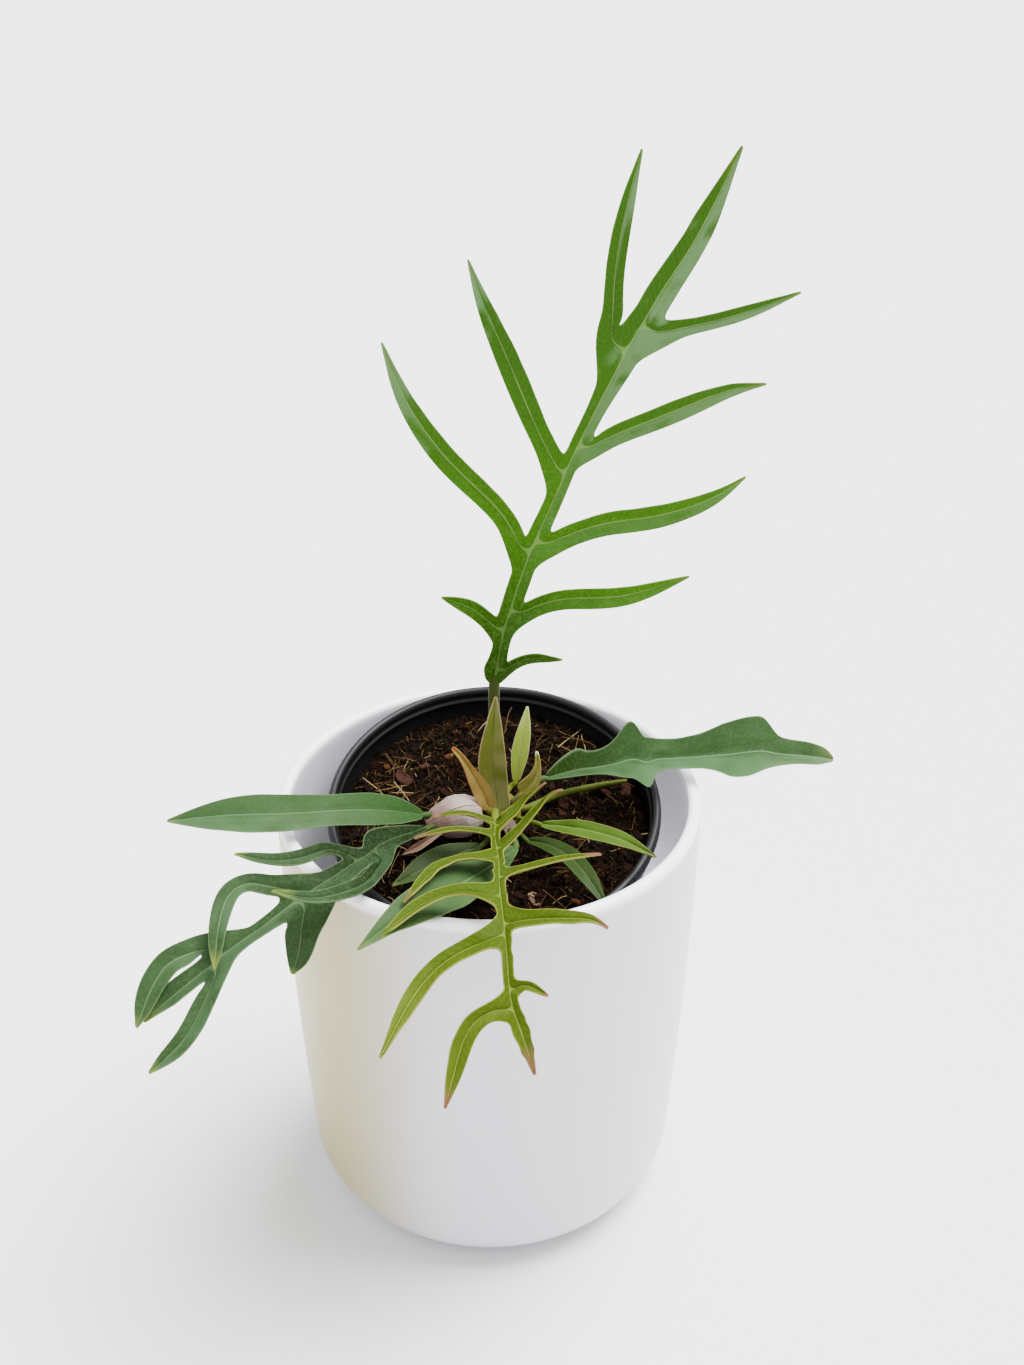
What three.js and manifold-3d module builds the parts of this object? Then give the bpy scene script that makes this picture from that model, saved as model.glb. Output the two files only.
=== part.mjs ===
// A young fishbone philodendron in a nursery pot, standing in a white cover pot.
// Millimetres, +Z up. The origin is the middle of the cover pot's foot, on the
// surface that it stands on. The viewer stands on the -Y side, +X to the right.

import * as THREE from 'three';
import { mergeVertices } from 'three/addons/utils/BufferGeometryUtils.js';
import Module from 'manifold-3d';

const wasm = await Module();
wasm.setup();

// Cover pot
const COVER_HEIGHT = 165;
const COVER_RIM_RADIUS = 74;
const COVER_TAPER = 6.1;
const COVER_BARREL = 0.15;
const COVER_WALL = 4.5;
const COVER_FLOOR = 6;
const COVER_FOOT_ROUNDING = 20.5;
const COVER_FLOOR_ROUNDING = 12;
const COVER_SEGMENTS = 56;

// Nursery pot, which leans a little towards the viewer inside the cover pot. Its thin
// wall is squeezed: the pot is this much deeper, from front to back, than it is wide.
const NURSERY_RIM_RADIUS = 59;
const NURSERY_FOOT_RADIUS = 36;
const NURSERY_HEIGHT = 150;
const NURSERY_WALL = 1.2;
const NURSERY_DEEPER = 1.13;
const NURSERY_LEAN = THREE.MathUtils.degToRad(6.5);
const NURSERY_FOOT_AT = [1.7, 19.5, 11];
const NURSERY_SEGMENTS = 48;
const DRAIN_HOLES = 6;
const DRAIN_RADIUS = 3.5;
const DRAIN_CIRCLE = 24;
const DRAIN_SIDES = 12;

// Soil
const SOIL_BELOW_RIM = 9.5;
const SOIL_ROUGHNESS = 1.1;
const SOIL_CHIPS = 26;
const SOIL_SEGMENTS = 32;
const SOIL_SEED = 7;

// Foliage
const GAP = 0.3;
const BLADE_THICKNESS = 0.7;
const SHEATH_THICKNESS = 0.8;
const VEE = 0.16;
const STALK_SIDES = 8;
const ROWS_PER_SPAN = 2;
const CROWN_SIDES = 12;
const RIDGE_AT = [0.02, 0.2, 0.45];
const RIDGE_TAPER = [0.95, 0.7];
const RIDGE_TIP_RADIUS = 0.5;
const STATIONS_CLOSEST = 1.4;
const STATIONS_WIDEST = 8;
const LEFT = 1;
const RIGHT = -1;

const vec = (p) => new THREE.Vector3(p[0], p[1], p[2]);

// A small seeded random draw, the same on every run
function seeded(seed) {
  let state = seed;
  return () => {
    state = (state * 1664525 + 1013904223) % 4294967296;
    return state / 4294967296;
  };
}

// Solids for joining and cutting

function toSolid(geometry) {
  const bare = geometry.clone();
  bare.deleteAttribute('normal');
  bare.deleteAttribute('uv');
  const merged = mergeVertices(bare, 1e-4);
  return new wasm.Manifold(new wasm.Mesh({
    numProp: 3,
    vertProperties: new Float32Array(merged.attributes.position.array),
    triVerts: new Uint32Array(merged.index.array),
  }));
}

function toGeometry(solid) {
  const mesh = solid.getMesh();
  const geometry = new THREE.BufferGeometry();
  geometry.setAttribute('position', new THREE.BufferAttribute(mesh.vertProperties, 3));
  geometry.setIndex(new THREE.BufferAttribute(mesh.triVerts, 1));
  return geometry;
}

const join = (a, b) => toGeometry(toSolid(a).add(toSolid(b)));
const cut = (a, b) => toGeometry(toSolid(a).subtract(toSolid(b)));

function closedGeometry(points, triangles) {
  const geometry = new THREE.BufferGeometry();
  const flat = points.flatMap((p) => [p.x, p.y, p.z]);
  geometry.setAttribute('position', new THREE.Float32BufferAttribute(flat, 3));
  geometry.setIndex(triangles.flat());
  return geometry;
}

// A round stem that follows a smooth curve and tapers from point to point.
// grow widens it, and lengthens its lower end, to make room for it in a neighbour.
function stem(points, radii, grow = 0, sides = STALK_SIDES) {
  const places = points.map(vec);
  if (grow > 0) {
    const back = places[0].clone().sub(places[1]).setLength(grow);
    places[0].add(back);
  }
  const curve = new THREE.CatmullRomCurve3(places, false, 'catmullrom', 0.5);
  const rows = (points.length - 1) * ROWS_PER_SPAN;
  const frames = curve.computeFrenetFrames(rows, false);
  const verts = [];
  for (let i = 0; i <= rows; i += 1) {
    const t = i / rows;
    const middle = curve.getPointAt(t);
    const step = t * (radii.length - 1);
    const k = Math.min(Math.floor(step), radii.length - 2);
    const radius = THREE.MathUtils.lerp(radii[k], radii[k + 1], step - k) + grow;
    for (let j = 0; j < sides; j += 1) {
      const a = (2 * Math.PI * j) / sides;
      verts.push(middle.clone()
        .addScaledVector(frames.normals[i], radius * Math.cos(a))
        .addScaledVector(frames.binormals[i], radius * Math.sin(a)));
    }
  }
  const faces = [];
  for (let i = 0; i < rows; i += 1) {
    for (let j = 0; j < sides; j += 1) {
      const a = i * sides + j;
      const b = i * sides + ((j + 1) % sides);
      faces.push([a, b, b + sides], [a, b + sides, a + sides]);
    }
  }
  const last = rows * sides;
  for (let j = 1; j < sides - 1; j += 1) {
    faces.push([0, j + 1, j], [last, last + j, last + j + 1]);
  }
  return closedGeometry(verts, faces);
}

// A thin blade from a sheet of triangles: the same triangles on both faces,
// half the thickness to each side, and a wall along every free edge.
function thicken(points, triangles, thickness) {
  const normals = points.map(() => new THREE.Vector3());
  triangles.forEach(([a, b, c]) => {
    const ab = points[b].clone().sub(points[a]);
    const ac = points[c].clone().sub(points[a]);
    const normal = ab.cross(ac);
    [a, b, c].forEach((i) => normals[i].add(normal));
  });
  const n = points.length;
  const half = thickness / 2;
  const front = points.map((p, i) => p.clone().addScaledVector(normals[i].normalize(), half));
  const back = points.map((p, i) => p.clone().addScaledVector(normals[i], -half));
  const faces = triangles.map((t) => [...t]);
  triangles.forEach(([a, b, c]) => faces.push([a + n, c + n, b + n]));
  const edges = new Set();
  triangles.forEach(([a, b, c]) => [[a, b], [b, c], [c, a]].forEach(([i, j]) => edges.add(`${i},${j}`)));
  edges.forEach((edge) => {
    const [i, j] = edge.split(',').map(Number);
    if (!edges.has(`${j},${i}`)) {
      faces.push([i, i + n, j + n], [i, j + n, j]);
    }
  });
  return closedGeometry([...front, ...back], faces);
}

// How a narrow lobe widens and comes to a point, from its root (0) to its tip (1)
const lobeHalfWidth = (t) => (0.78 + 0.22 * Math.sin(Math.PI * t)) * (1 - t ** 3) ** 0.8;
// Share of a lobe's root that lies on the base side of its middle
const ROOT_BEHIND = 0.6;
const LOBE_ROWS = [0.1, 0.24, 0.4, 0.56, 0.72, 0.87];
// A lobe stays this far off the midrib's wing, unless it arches over the leaf
const WING_CLEARANCE = 1;
const OVERHANG = 2;

// Joins two rows of vertices, with any number in each, by a strip of triangles
function strip(rowA, rowB, flip) {
  const faces = [];
  let i = 0;
  let j = 0;
  while (i < rowA.length - 1 || j < rowB.length - 1) {
    const stepA = (i + 1) / (rowA.length - 1);
    const stepB = (j + 1) / (rowB.length - 1);
    const alongA = j === rowB.length - 1 || (i < rowA.length - 1 && stepA <= stepB);
    const face = alongA ? [rowA[i], rowA[i + 1], rowB[j]] : [rowA[i], rowB[j + 1], rowB[j]];
    faces.push(flip ? face.reverse() : face);
    if (alongA) {
      i += 1;
    } else {
      j += 1;
    }
  }
  return faces;
}

// The sheet of one leaf: a winged midrib, and lobes that grow from its edges.
// A lobe's path is in its own frame on the midrib: out, along and up from it.
function leafSheet(leaf) {
  const curve = new THREE.CatmullRomCurve3(leaf.midrib.map(vec), false, 'catmullrom', 0.5);
  curve.arcLengthDivisions = 600;
  const length = curve.getLength();
  const facing = vec(leaf.facing);
  const vee = leaf.vee ?? VEE;
  const points = [];
  const faces = [];
  const put = (p) => points.push(p) - 1;

  const even = (leaf.wing ?? []).map((w, k) => [(k / (leaf.wing.length - 1)) * length, w]);
  const edges = { [LEFT]: leaf.leftEdge ?? even, [RIGHT]: leaf.rightEdge ?? even };
  const wingAt = (s, side) => {
    const edge = edges[side];
    const k = Math.max(1, edge.findIndex(([at]) => at >= s));
    const [s0, w0] = edge[k - 1];
    const [s1, w1] = edge[k];
    return THREE.MathUtils.mapLinear(Math.min(s, s1), s0, s1, w0, w1);
  };
  const frameAt = (s) => {
    const middle = curve.getPointAt(Math.min(s / length, 1));
    const ahead = curve.getTangentAt(Math.min(s / length, 1));
    const up = facing.clone().addScaledVector(ahead, -facing.dot(ahead)).normalize();
    const across = up.clone().cross(ahead);
    return { middle, ahead, up, across };
  };

  // Stations: the ends and middle of each lobe's root, and others between them
  const widest = leaf.step ?? STATIONS_WIDEST;
  const wanted = [0, length];
  const rootStart = (lobe) => lobe.at - lobe.root * ROOT_BEHIND;
  const rootEnd = (lobe) => lobe.at + lobe.root * (1 - ROOT_BEHIND);
  leaf.lobes.forEach((lobe) => wanted.push(rootStart(lobe), lobe.at, rootEnd(lobe)));
  [leaf.leftEdge, leaf.rightEdge].forEach((edge) => wanted.push(...(edge ?? []).map(([s]) => s)));
  wanted.sort((a, b) => a - b);
  const stations = [];
  wanted.filter((s) => s >= 0 && s <= length).forEach((s) => {
    const last = stations.length ? stations[stations.length - 1] : -Infinity;
    const pieces = Math.ceil((s - last) / widest);
    if (Number.isFinite(last) && pieces > 1) {
      for (let k = 1; k < pieces; k += 1) {
        stations.push(last + ((s - last) * k) / pieces);
      }
    }
    if (s - last > STATIONS_CLOSEST) {
      stations.push(s);
    }
  });
  stations[stations.length - 1] = length;

  const rows = stations.map((s, k) => {
    const { middle, up, across } = frameAt(s);
    const edge = (side) => middle.clone()
      .addScaledVector(across, side * wingAt(s, side))
      .addScaledVector(up, wingAt(s, side) * vee);
    const isTip = k === stations.length - 1;
    const centre = put(middle);
    return { centre, left: isTip ? centre : put(edge(LEFT)), right: isTip ? centre : put(edge(RIGHT)) };
  });
  for (let k = 0; k < rows.length - 1; k += 1) {
    const a = rows[k];
    const b = rows[k + 1];
    faces.push([a.centre, b.centre, a.left], [a.centre, a.right, b.centre]);
    if (b.left !== b.centre) {
      faces.push([b.centre, b.left, a.left], [a.right, b.right, b.centre]);
    }
  }

  const nearest = (s) => stations.reduce((best, other, k) => (
    Math.abs(other - s) < Math.abs(stations[best] - s) ? k : best), 0);

  // Moves a lobe's vertex outwards where it would lie on the wing beside it
  const clearOfWing = (p, side) => {
    let s = 0;
    for (let at = 0; at <= length; at += 1) {
      if (curve.getPointAt(at / length).distanceTo(p) < curve.getPointAt(s / length).distanceTo(p)) {
        s = at;
      }
    }
    const { middle, up, across } = frameAt(s);
    const offset = p.clone().sub(middle);
    const short = wingAt(s, side) + WING_CLEARANCE - side * offset.dot(across);
    if (short > 0 && Math.abs(offset.dot(up)) < OVERHANG) {
      p.addScaledVector(across, side * short);
    }
    return p;
  };

  leaf.lobes.forEach((lobe) => {
    const { middle, ahead, up, across } = frameAt(lobe.at);
    const inLeaf = ([out, along, lift]) => middle.clone()
      .addScaledVector(across, lobe.side * out)
      .addScaledVector(ahead, along)
      .addScaledVector(up, lift ?? 0);
    const start = inLeaf([wingAt(lobe.at, lobe.side), 0, 0]);
    const path = new THREE.CatmullRomCurve3([start, ...lobe.path.map(inLeaf)], false, 'catmullrom', 0.5);
    const from = nearest(rootStart(lobe));
    const to = Math.min(nearest(rootEnd(lobe)), rows.length - 2);
    const side = lobe.side === LEFT ? 'left' : 'right';
    const flip = lobe.side === RIGHT;
    let row = rows.slice(from, to + 1).map((r) => r[side]);
    LOBE_ROWS.forEach((t) => {
      const centre = path.getPointAt(t);
      const heading = path.getTangentAt(t);
      const lifted = up.clone().addScaledVector(heading, -up.dot(heading)).normalize();
      const toBase = lifted.clone().cross(heading).multiplyScalar(lobe.side);
      const half = (lobe.width / 2) * lobeHalfWidth(t);
      const edge = (sign) => clearOfWing(centre.clone()
        .addScaledVector(toBase, sign * half)
        .addScaledVector(lifted, half * vee), lobe.side);
      const next = [put(edge(1)), put(centre), put(edge(-1))];
      faces.push(...strip(row, next, flip));
      row = next;
    });
    const tip = put(path.getPointAt(1));
    faces.push(...strip(row, [tip], flip));
  });
  return { points, faces, frameAt, length };
}

// A whole leaf: its blade, with the stalk running on as a ridge under the midrib
function leafGeometry(leaf) {
  const { points, faces, frameAt, length } = leafSheet(leaf);
  const blade = thicken(points, faces, BLADE_THICKNESS);
  const stalkRadii = leaf.stalk.map(() => leaf.stalkRadius);
  const ridgeRadii = [...RIDGE_TAPER.map((share) => leaf.stalkRadius * share), RIDGE_TIP_RADIUS];
  const ridge = RIDGE_AT.map((t, k) => {
    const { middle, up } = frameAt(t * length);
    return middle.addScaledVector(up, -ridgeRadii[k]).toArray();
  });
  return join(blade, stem([...leaf.stalk, ...ridge], [...stalkRadii, ...ridgeRadii]));
}

// The room that a neighbour leaves round a leaf's stalk
const stalkRoom = (leaf) => stem(leaf.stalk, leaf.stalk.map(() => leaf.stalkRadius), GAP);

const material = (color, roughness, metalness = 0) => (
  new THREE.MeshStandardMaterial({ color, roughness, metalness }));

const glaze = material('#f3f2f3', 0.35);
const blackPlastic = material('#1d2124', 0.45);
const darkSoil = material('#35221a', 0.95);
const stemGreen = material('#8a8f4a', 0.6);
const freshGreen = material('#4f8a34', 0.45);
const youngGreen = material('#9db845', 0.5);
const deepGreen = material('#3f6b4a', 0.45);
const oliveSheath = material('#8f9a5e', 0.55);
const brownSheath = material('#a5713f', 0.7);
const paperSheath = material('#cdb5a6', 0.8);

const model = new THREE.Group();

function place(name, geometry, finish) {
  const mesh = new THREE.Mesh(geometry, finish);
  mesh.name = name;
  model.add(mesh);
  return mesh;
}

// Cover pot: a slightly barrelled wall, a round lip and a softly rounded foot

function coverRadius(z) {
  const t = z / COVER_HEIGHT;
  return COVER_RIM_RADIUS - COVER_TAPER * (1 - t) ** 2 * (1 + COVER_BARREL * t);
}

function coverPot() {
  const profile = [[0, 0]];
  const footFlat = coverRadius(COVER_FOOT_ROUNDING) - COVER_FOOT_ROUNDING;
  const quarter = Math.PI / 2;
  for (let i = 0; i <= 5; i += 1) {
    const a = quarter * (i / 5);
    profile.push([footFlat + COVER_FOOT_ROUNDING * Math.sin(a), COVER_FOOT_ROUNDING * (1 - Math.cos(a))]);
  }
  const lip = COVER_WALL / 2;
  const lipMiddle = COVER_RIM_RADIUS - lip;
  [70, 118].forEach((z) => profile.push([coverRadius(z), z]));
  for (let i = 0; i <= 4; i += 1) {
    const a = Math.PI * (i / 4);
    profile.push([lipMiddle + lip * Math.cos(a), COVER_HEIGHT - lip + lip * Math.sin(a)]);
  }
  [118, 70].forEach((z) => profile.push([coverRadius(z) - COVER_WALL, z]));
  const floorCorner = coverRadius(COVER_FLOOR + COVER_FLOOR_ROUNDING) - COVER_WALL - COVER_FLOOR_ROUNDING;
  for (let i = 0; i <= 3; i += 1) {
    const a = quarter * (i / 3);
    profile.push([floorCorner + COVER_FLOOR_ROUNDING * Math.cos(a),
      COVER_FLOOR + COVER_FLOOR_ROUNDING * (1 - Math.sin(a))]);
  }
  profile.push([0, COVER_FLOOR]);
  return new THREE.LatheGeometry(profile.map(([r, z]) => new THREE.Vector2(r, z)), COVER_SEGMENTS)
    .rotateX(Math.PI / 2);
}

place('cover_pot', coverPot(), glaze);

// Nursery pot: a thin tapered wall with a stacking step and a rolled rim,
// and drain holes through its foot. Its own frame stands on its foot.

const nurseryFrame = new THREE.Matrix4()
  .makeRotationX(NURSERY_LEAN)
  .setPosition(...NURSERY_FOOT_AT);

const NURSERY_STEP = NURSERY_HEIGHT - 14;
const NURSERY_WALL_TOP = NURSERY_RIM_RADIUS - 4;

function nurseryPot() {
  const foot = NURSERY_FOOT_RADIUS;
  const top = NURSERY_HEIGHT;
  const rim = NURSERY_RIM_RADIUS;
  const profile = [
    [0, 0], [foot - 1, 0], [foot, 1],
    [NURSERY_WALL_TOP, NURSERY_STEP], [rim - 2.2, NURSERY_STEP + 3],
    [rim - 1.9, top - 4.5], [rim - 0.2, top - 4.2], [rim, top - 2.5], [rim - 0.5, top - 0.6],
    [rim - 1.4, top], [rim - 2.6, top - 0.3], [rim - 3.1, top - 1.4],
    [rim - 3.4, NURSERY_STEP + 3.5], [NURSERY_WALL_TOP - NURSERY_WALL, NURSERY_STEP + 0.5],
    [foot - NURSERY_WALL, NURSERY_WALL], [0, NURSERY_WALL],
  ];
  let pot = new THREE.LatheGeometry(profile.map(([r, z]) => new THREE.Vector2(r, z)), NURSERY_SEGMENTS)
    .rotateX(Math.PI / 2);
  for (let i = 0; i < DRAIN_HOLES; i += 1) {
    const a = (2 * Math.PI * i) / DRAIN_HOLES;
    const drill = new THREE.CylinderGeometry(DRAIN_RADIUS, DRAIN_RADIUS, 6, DRAIN_SIDES)
      .rotateX(Math.PI / 2)
      .translate(DRAIN_CIRCLE * Math.cos(a), DRAIN_CIRCLE * Math.sin(a), 0);
    pot = cut(pot, drill);
  }
  return pot.scale(1, NURSERY_DEEPER, 1);
}

const nursery = place('nursery_pot', nurseryPot(), blackPlastic);
nursery.rotation.x = NURSERY_LEAN;
nursery.position.set(...NURSERY_FOOT_AT);

// Leaves. Each one's stalk starts in the crown, and its midrib where the blade does.

const leaves = {
  tall_leaf: {
    finish: freshGreen,
    stalk: [[2, 7, 153], [2, 8, 160], [2, 13, 180], [2, 17, 195]],
    stalkRadius: 2,
    midrib: [[2, 18, 198], [6, 20, 219], [14, 24, 244], [23, 27, 265], [31, 29, 284],
      [44, 34, 309], [56, 38, 330], [67, 41, 347], [80, 45, 374]],
    leftEdge: [[0, 1.8], [3, 3.6], [7, 3], [14, 2.8], [22, 3.6], [40, 3.6], [60, 3.2], [84, 2.7], [104, 3],
      [125, 4.2], [150, 4.8], [172, 4], [196, 0.4]],
    rightEdge: [[0, 1.8], [3, 3], [10, 2.8], [22, 3.2], [40, 3.6], [60, 3.2], [84, 2.7], [104, 3.2],
      [120, 4.6], [145, 4.8], [172, 3.8], [196, 0.4]],
    facing: [0, -0.98, 0.17],
    lobes: [
      { side: RIGHT, at: 6, root: 7, width: 4, path: [[6, 3, 0], [12, 6, 0], [22, 7, 1]] },
      { side: LEFT, at: 21, root: 8, width: 4.6, path: [[8, 3, 1], [15, 6, 2], [24, 7, 3]] },
      { side: RIGHT, at: 28, root: 9, width: 6.2, path: [[15, 9, 2], [35, 17, 5], [54, 30, 6]] },
      { side: LEFT, at: 50, root: 13, width: 7.6,
        path: [[15, 10, 2], [39, 22, 6], [57, 35, 6], [70, 49, 2]] },
      { side: RIGHT, at: 54, root: 12, width: 7,
        path: [[18, 14, 2], [34, 25, 6], [47, 37, 8], [55, 48, 6]] },
      { side: LEFT, at: 74, root: 14, width: 7.4,
        path: [[16, 15, 2], [34, 35, 6], [46, 49, 6], [55, 59, 3]] },
      { side: RIGHT, at: 90, root: 12, width: 6.6,
        path: [[10, 9, 2], [22, 23, 6], [35, 37, 7], [46, 44, 5]] },
      { side: LEFT, at: 113, root: 14, width: 7,
        path: [[9, 16, 1], [17, 34, 4], [24, 51, 6], [27, 67, 5]] },
      { side: RIGHT, at: 133, root: 15, width: 6.2, path: [[15, 9, 2], [26, 20, 5], [38, 34, 6]] },
    ],
  },
  young_leaf: {
    finish: youngGreen,
    stalk: [[2, 2, 156], [2, -4, 158.5], [2, -8, 159.5]],
    stalkRadius: 1.5,
    midrib: [[2, -10, 160], [2, -26, 163], [3, -43, 167], [3, -62, 172], [4, -80, 173], [5, -94, 169],
      [6, -104, 161], [10, -110, 150], [13, -111, 138]],
    wing: [1.6, 1.7, 1.8, 1.8, 2, 1.8, 1.7, 2.7, 0.4],
    facing: [0, -0.7, 0.7],
    lobes: [
      { side: RIGHT, at: 3, root: 5, width: 3.4, path: [[7, -1, 2], [13, 1, 4], [21, 4, 4]] },
      { side: LEFT, at: 6, root: 6, width: 3.4, path: [[10, -7, 6], [17, -6, 14]] },
      { side: RIGHT, at: 13, root: 6, width: 3.8, path: [[8, 0, 2], [17, 4, 4], [27, 9, 4]] },
      { side: LEFT, at: 24, root: 6, width: 3.6, path: [[10, -4, 5], [18, -6, 12], [21, -4, 16]] },
      { side: RIGHT, at: 32, root: 8, width: 5.4, path: [[11, 3, 2], [20, 11, 3], [31, 30, 1]] },
      { side: LEFT, at: 48, root: 8, width: 4.4, path: [[9, 1, 3], [19, 1, 6], [32, 3, 9]] },
      { side: RIGHT, at: 61, root: 10, width: 6.4,
        path: [[9, -2, 2], [18, -1, 2], [27, 4, 1], [37, 15, 0]] },
      { side: LEFT, at: 74, root: 10, width: 5.8, path: [[9, 1, 2], [20, 3, 3], [29, 6, 3]] },
      { side: RIGHT, at: 79, root: 11, width: 6.6,
        path: [[10, 3, 1], [20, 8, 0], [29, 18, -1], [39, 36, -2]] },
      { side: LEFT, at: 96, root: 6, width: 3, path: [[5, -1, 1], [11, 3, 2]] },
      { side: RIGHT, at: 101, root: 9, width: 6.4,
        path: [[8, -1, 1], [15, 3, 1], [19, 9, 0], [27, 23, -2]] },
    ],
  },
  left_lobed_leaf: {
    finish: deepGreen,
    stalk: [[-1, -1, 153], [-9, -5, 155], [-17.5, -8.8, 157]],
    stalkRadius: 1.4,
    midrib: [[-22, -12.5, 158.5], [-26, -21, 162.5], [-34, -31, 166], [-44, -44, 167.5], [-54, -57, 168.5],
      [-63, -64, 166], [-70, -70, 163.5], [-79, -77, 160.5], [-86, -83, 157.5], [-93, -88, 154],
      [-106, -94, 145.5]],
    rightEdge: [[0, 1.2], [10, 3], [19, 4.4], [29, 4.6], [34, 1.8], [41, 2.6], [50, 3.2], [58, 4], [73, 2.4],
      [82, 1.6], [92, 3.6], [102, 2.4], [112, 3.4], [118, 2.8], [126, 0.4]],
    leftEdge: [[0, 1.2], [16, 2.7], [28, 3.9], [39, 4.5], [50, 5.6], [60, 4.2], [74, 2.9], [84, 1.8],
      [93, 3], [104, 2.2], [114, 2.4], [126, 0.4]],
    facing: [0, -0.5, 0.87],
    lobes: [
      { side: RIGHT, at: 37, root: 9, width: 4.6,
        path: [[6, 4, 1], [9, 8, 2], [10, 17, 2], [15, 27, 2], [24, 35, 2]] },
      { side: LEFT, at: 31, root: 12, width: 5, path: [[8, 8, 3], [11, 20, 6], [7, 38, 8], [-3, 47, 8]] },
      { side: RIGHT, at: 64, root: 14, width: 5.4,
        path: [[7, 5, 2], [13, 11, 4], [12, 19, 6], [3, 28, 8], [-6, 35, 6]] },
      { side: LEFT, at: 61, root: 15, width: 10.6, path: [[6, 6, -2], [11, 11, -6], [15, 16, -12]] },
      { side: RIGHT, at: 94, root: 13, width: 7, path: [[7, 6, 1], [10, 13, 1], [8, 22, -1], [2, 33, -4]] },
      { side: LEFT, at: 99, root: 11, width: 6.4, path: [[7, 8, -1], [12, 20, -2], [12, 34, -4]] },
    ],
  },
  right_lobed_leaf: {
    finish: deepGreen,
    stalk: [[6, 5, 154], [12, 9, 157.5], [18, 11.6, 161.4]],
    stalkRadius: 1.3,
    midrib: [[20, 12, 162], [40, 12, 166], [57, 10, 170], [71, 8, 172], [81, 6, 174], [95, 5, 176],
      [120, 1, 176]],
    leftEdge: [[0, 1.2], [5, 5.1], [10, 7.7], [14, 8.4], [16, 6.7], [22, 6.7], [26.5, 9.1], [30, 13.8],
      [32.5, 15], [34.5, 13], [36.2, 9.2], [38.4, 8.8], [43, 7.9], [48, 8], [56, 9.2], [64.5, 12], [72, 13.4],
      [76.7, 13.6], [78.6, 13], [79.8, 8.8], [84.6, 6.1], [93, 5.7], [99, 4.2], [103, 0.4]],
    rightEdge: [[0, 1], [9, 1.7], [15.7, 1.9], [21.5, 2.6], [27, 5], [32.4, 6.3], [36.5, 10], [38.4, 10.6],
      [40, 5.6], [42, 3.9], [46, 3.8], [56, 3.9], [62, 5.6], [66, 8.4], [71, 9.4], [76, 7.8], [82, 4.8],
      [90, 2.9], [97, 2.9], [103, 0.4]],
    facing: [0, -0.5, 0.87],
    lobes: [],
  },
};

// Plain lance-shaped leaves and scales: stalk, midrib, widest half width and the way they face
const lances = {
  left_lance_leaf: {
    finish: deepGreen, facing: [0, -0.6, 0.8], stalkRadius: 1.2,
    stalk: [[-2, 4, 157], [-10, -1, 158.5], [-20, -7, 160]],
    midrib: [[-23, -8.5, 161], [-34, -13, 166], [-47, -18, 170], [-67, -24, 173], [-86, -26, 174],
      [-108, -24, 170.5]],
    wing: [2.2, 5.8, 6.2, 6.4, 4.6, 0.4],
  },
  front_lance_leaf: {
    finish: deepGreen, facing: [0, -0.5, 0.87], stalkRadius: 1.2,
    stalk: [[4.8, -0.5, 154.8], [7, -12, 156], [9, -21, 156.5]],
    midrib: [[9, -22, 156.5], [2, -34, 159], [-13, -57, 165.5], [-27, -74, 169.5], [-40, -88, 168]],
    wing: [1.4, 6, 8, 5.6, 0.4],
  },
  back_short_leaf: {
    finish: deepGreen, facing: [0, -0.5, 0.87], stalkRadius: 1,
    stalk: [[2, -1, 152.2], [1, -8, 152.6], [-2, -15, 153]],
    midrib: [[-3, -16, 153], [-12, -24, 155], [-20, -32, 156.8], [-32, -44, 157.8]],
    wing: [1.2, 5, 4.6, 0.4],
  },
  right_lance_leaf_upper: {
    finish: youngGreen, facing: [0, -0.5, 0.87], stalkRadius: 0.9,
    stalk: [[6, 3, 153], [11, -3, 155], [17, -9, 157]],
    midrib: [[18, -10, 157.5], [31, -17, 160.5], [44, -26, 162.5], [55, -38, 164]],
    wing: [1.2, 3.4, 3, 0.4],
  },
  right_lance_leaf_lower: {
    finish: deepGreen, facing: [0, -0.5, 0.87], stalkRadius: 0.9,
    stalk: [[6.5, -1, 151.8], [10, -8, 152.8], [12.6, -15, 154.6]],
    midrib: [[13, -16, 155], [20, -21, 157], [27, -31, 159], [32, -42, 159.5], [38, -53, 155]],
    wing: [1.2, 3, 3.4, 3, 0.4],
  },
  small_upright_leaf: {
    finish: youngGreen, facing: [0, -1, 0.1], stalkRadius: 0.9,
    stalk: [[6, 9.5, 157], [8, 11, 159.5], [9.3, 10.8, 161]],
    midrib: [[9.6, 10.5, 162], [11, 11, 174], [12.5, 10.5, 184], [13.5, 10, 193]],
    wing: [1.4, 3.2, 2.6, 0.4],
  },
  olive_sheath_leaf: {
    finish: oliveSheath, facing: [0.1, -1, 0.1], stalkRadius: 1.6, vee: 0.5,
    stalk: [[3, 3, 160], [2.8, 2, 162], [2.5, 1.5, 164]],
    midrib: [[2.5, 1.5, 165], [1, 2, 176], [1.5, 3, 188], [2.5, 3.5, 201]],
    wing: [2.9, 4.6, 4.4, 3.4, 2, 0.4],
  },
  brown_sheath_leaf: {
    finish: brownSheath, facing: [0.2, -1, 0.2], stalkRadius: 1,
    stalk: [[0, 0.8, 159], [-0.5, -0.8, 162], [-2, -1.5, 165.5]],
    midrib: [[-2.8, -2, 166.5], [-6.2, -2, 173], [-9, -0.5, 179], [-12.5, 0, 183]],
    wing: [1.6, 2.8, 2.2, 1, 0.4],
  },
  right_sheath_leaf: {
    finish: brownSheath, facing: [0, -1, 0.2], stalkRadius: 1,
    stalk: [[6, 2, 157], [8.5, 0, 160.5], [11, -0.5, 163.5]],
    midrib: [[11.5, -0.5, 164.5], [15, -0.5, 169], [17, -0.5, 175], [16.5, 0, 181]],
    wing: [2, 2.6, 1.6, 1, 0.4],
  },
};

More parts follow.
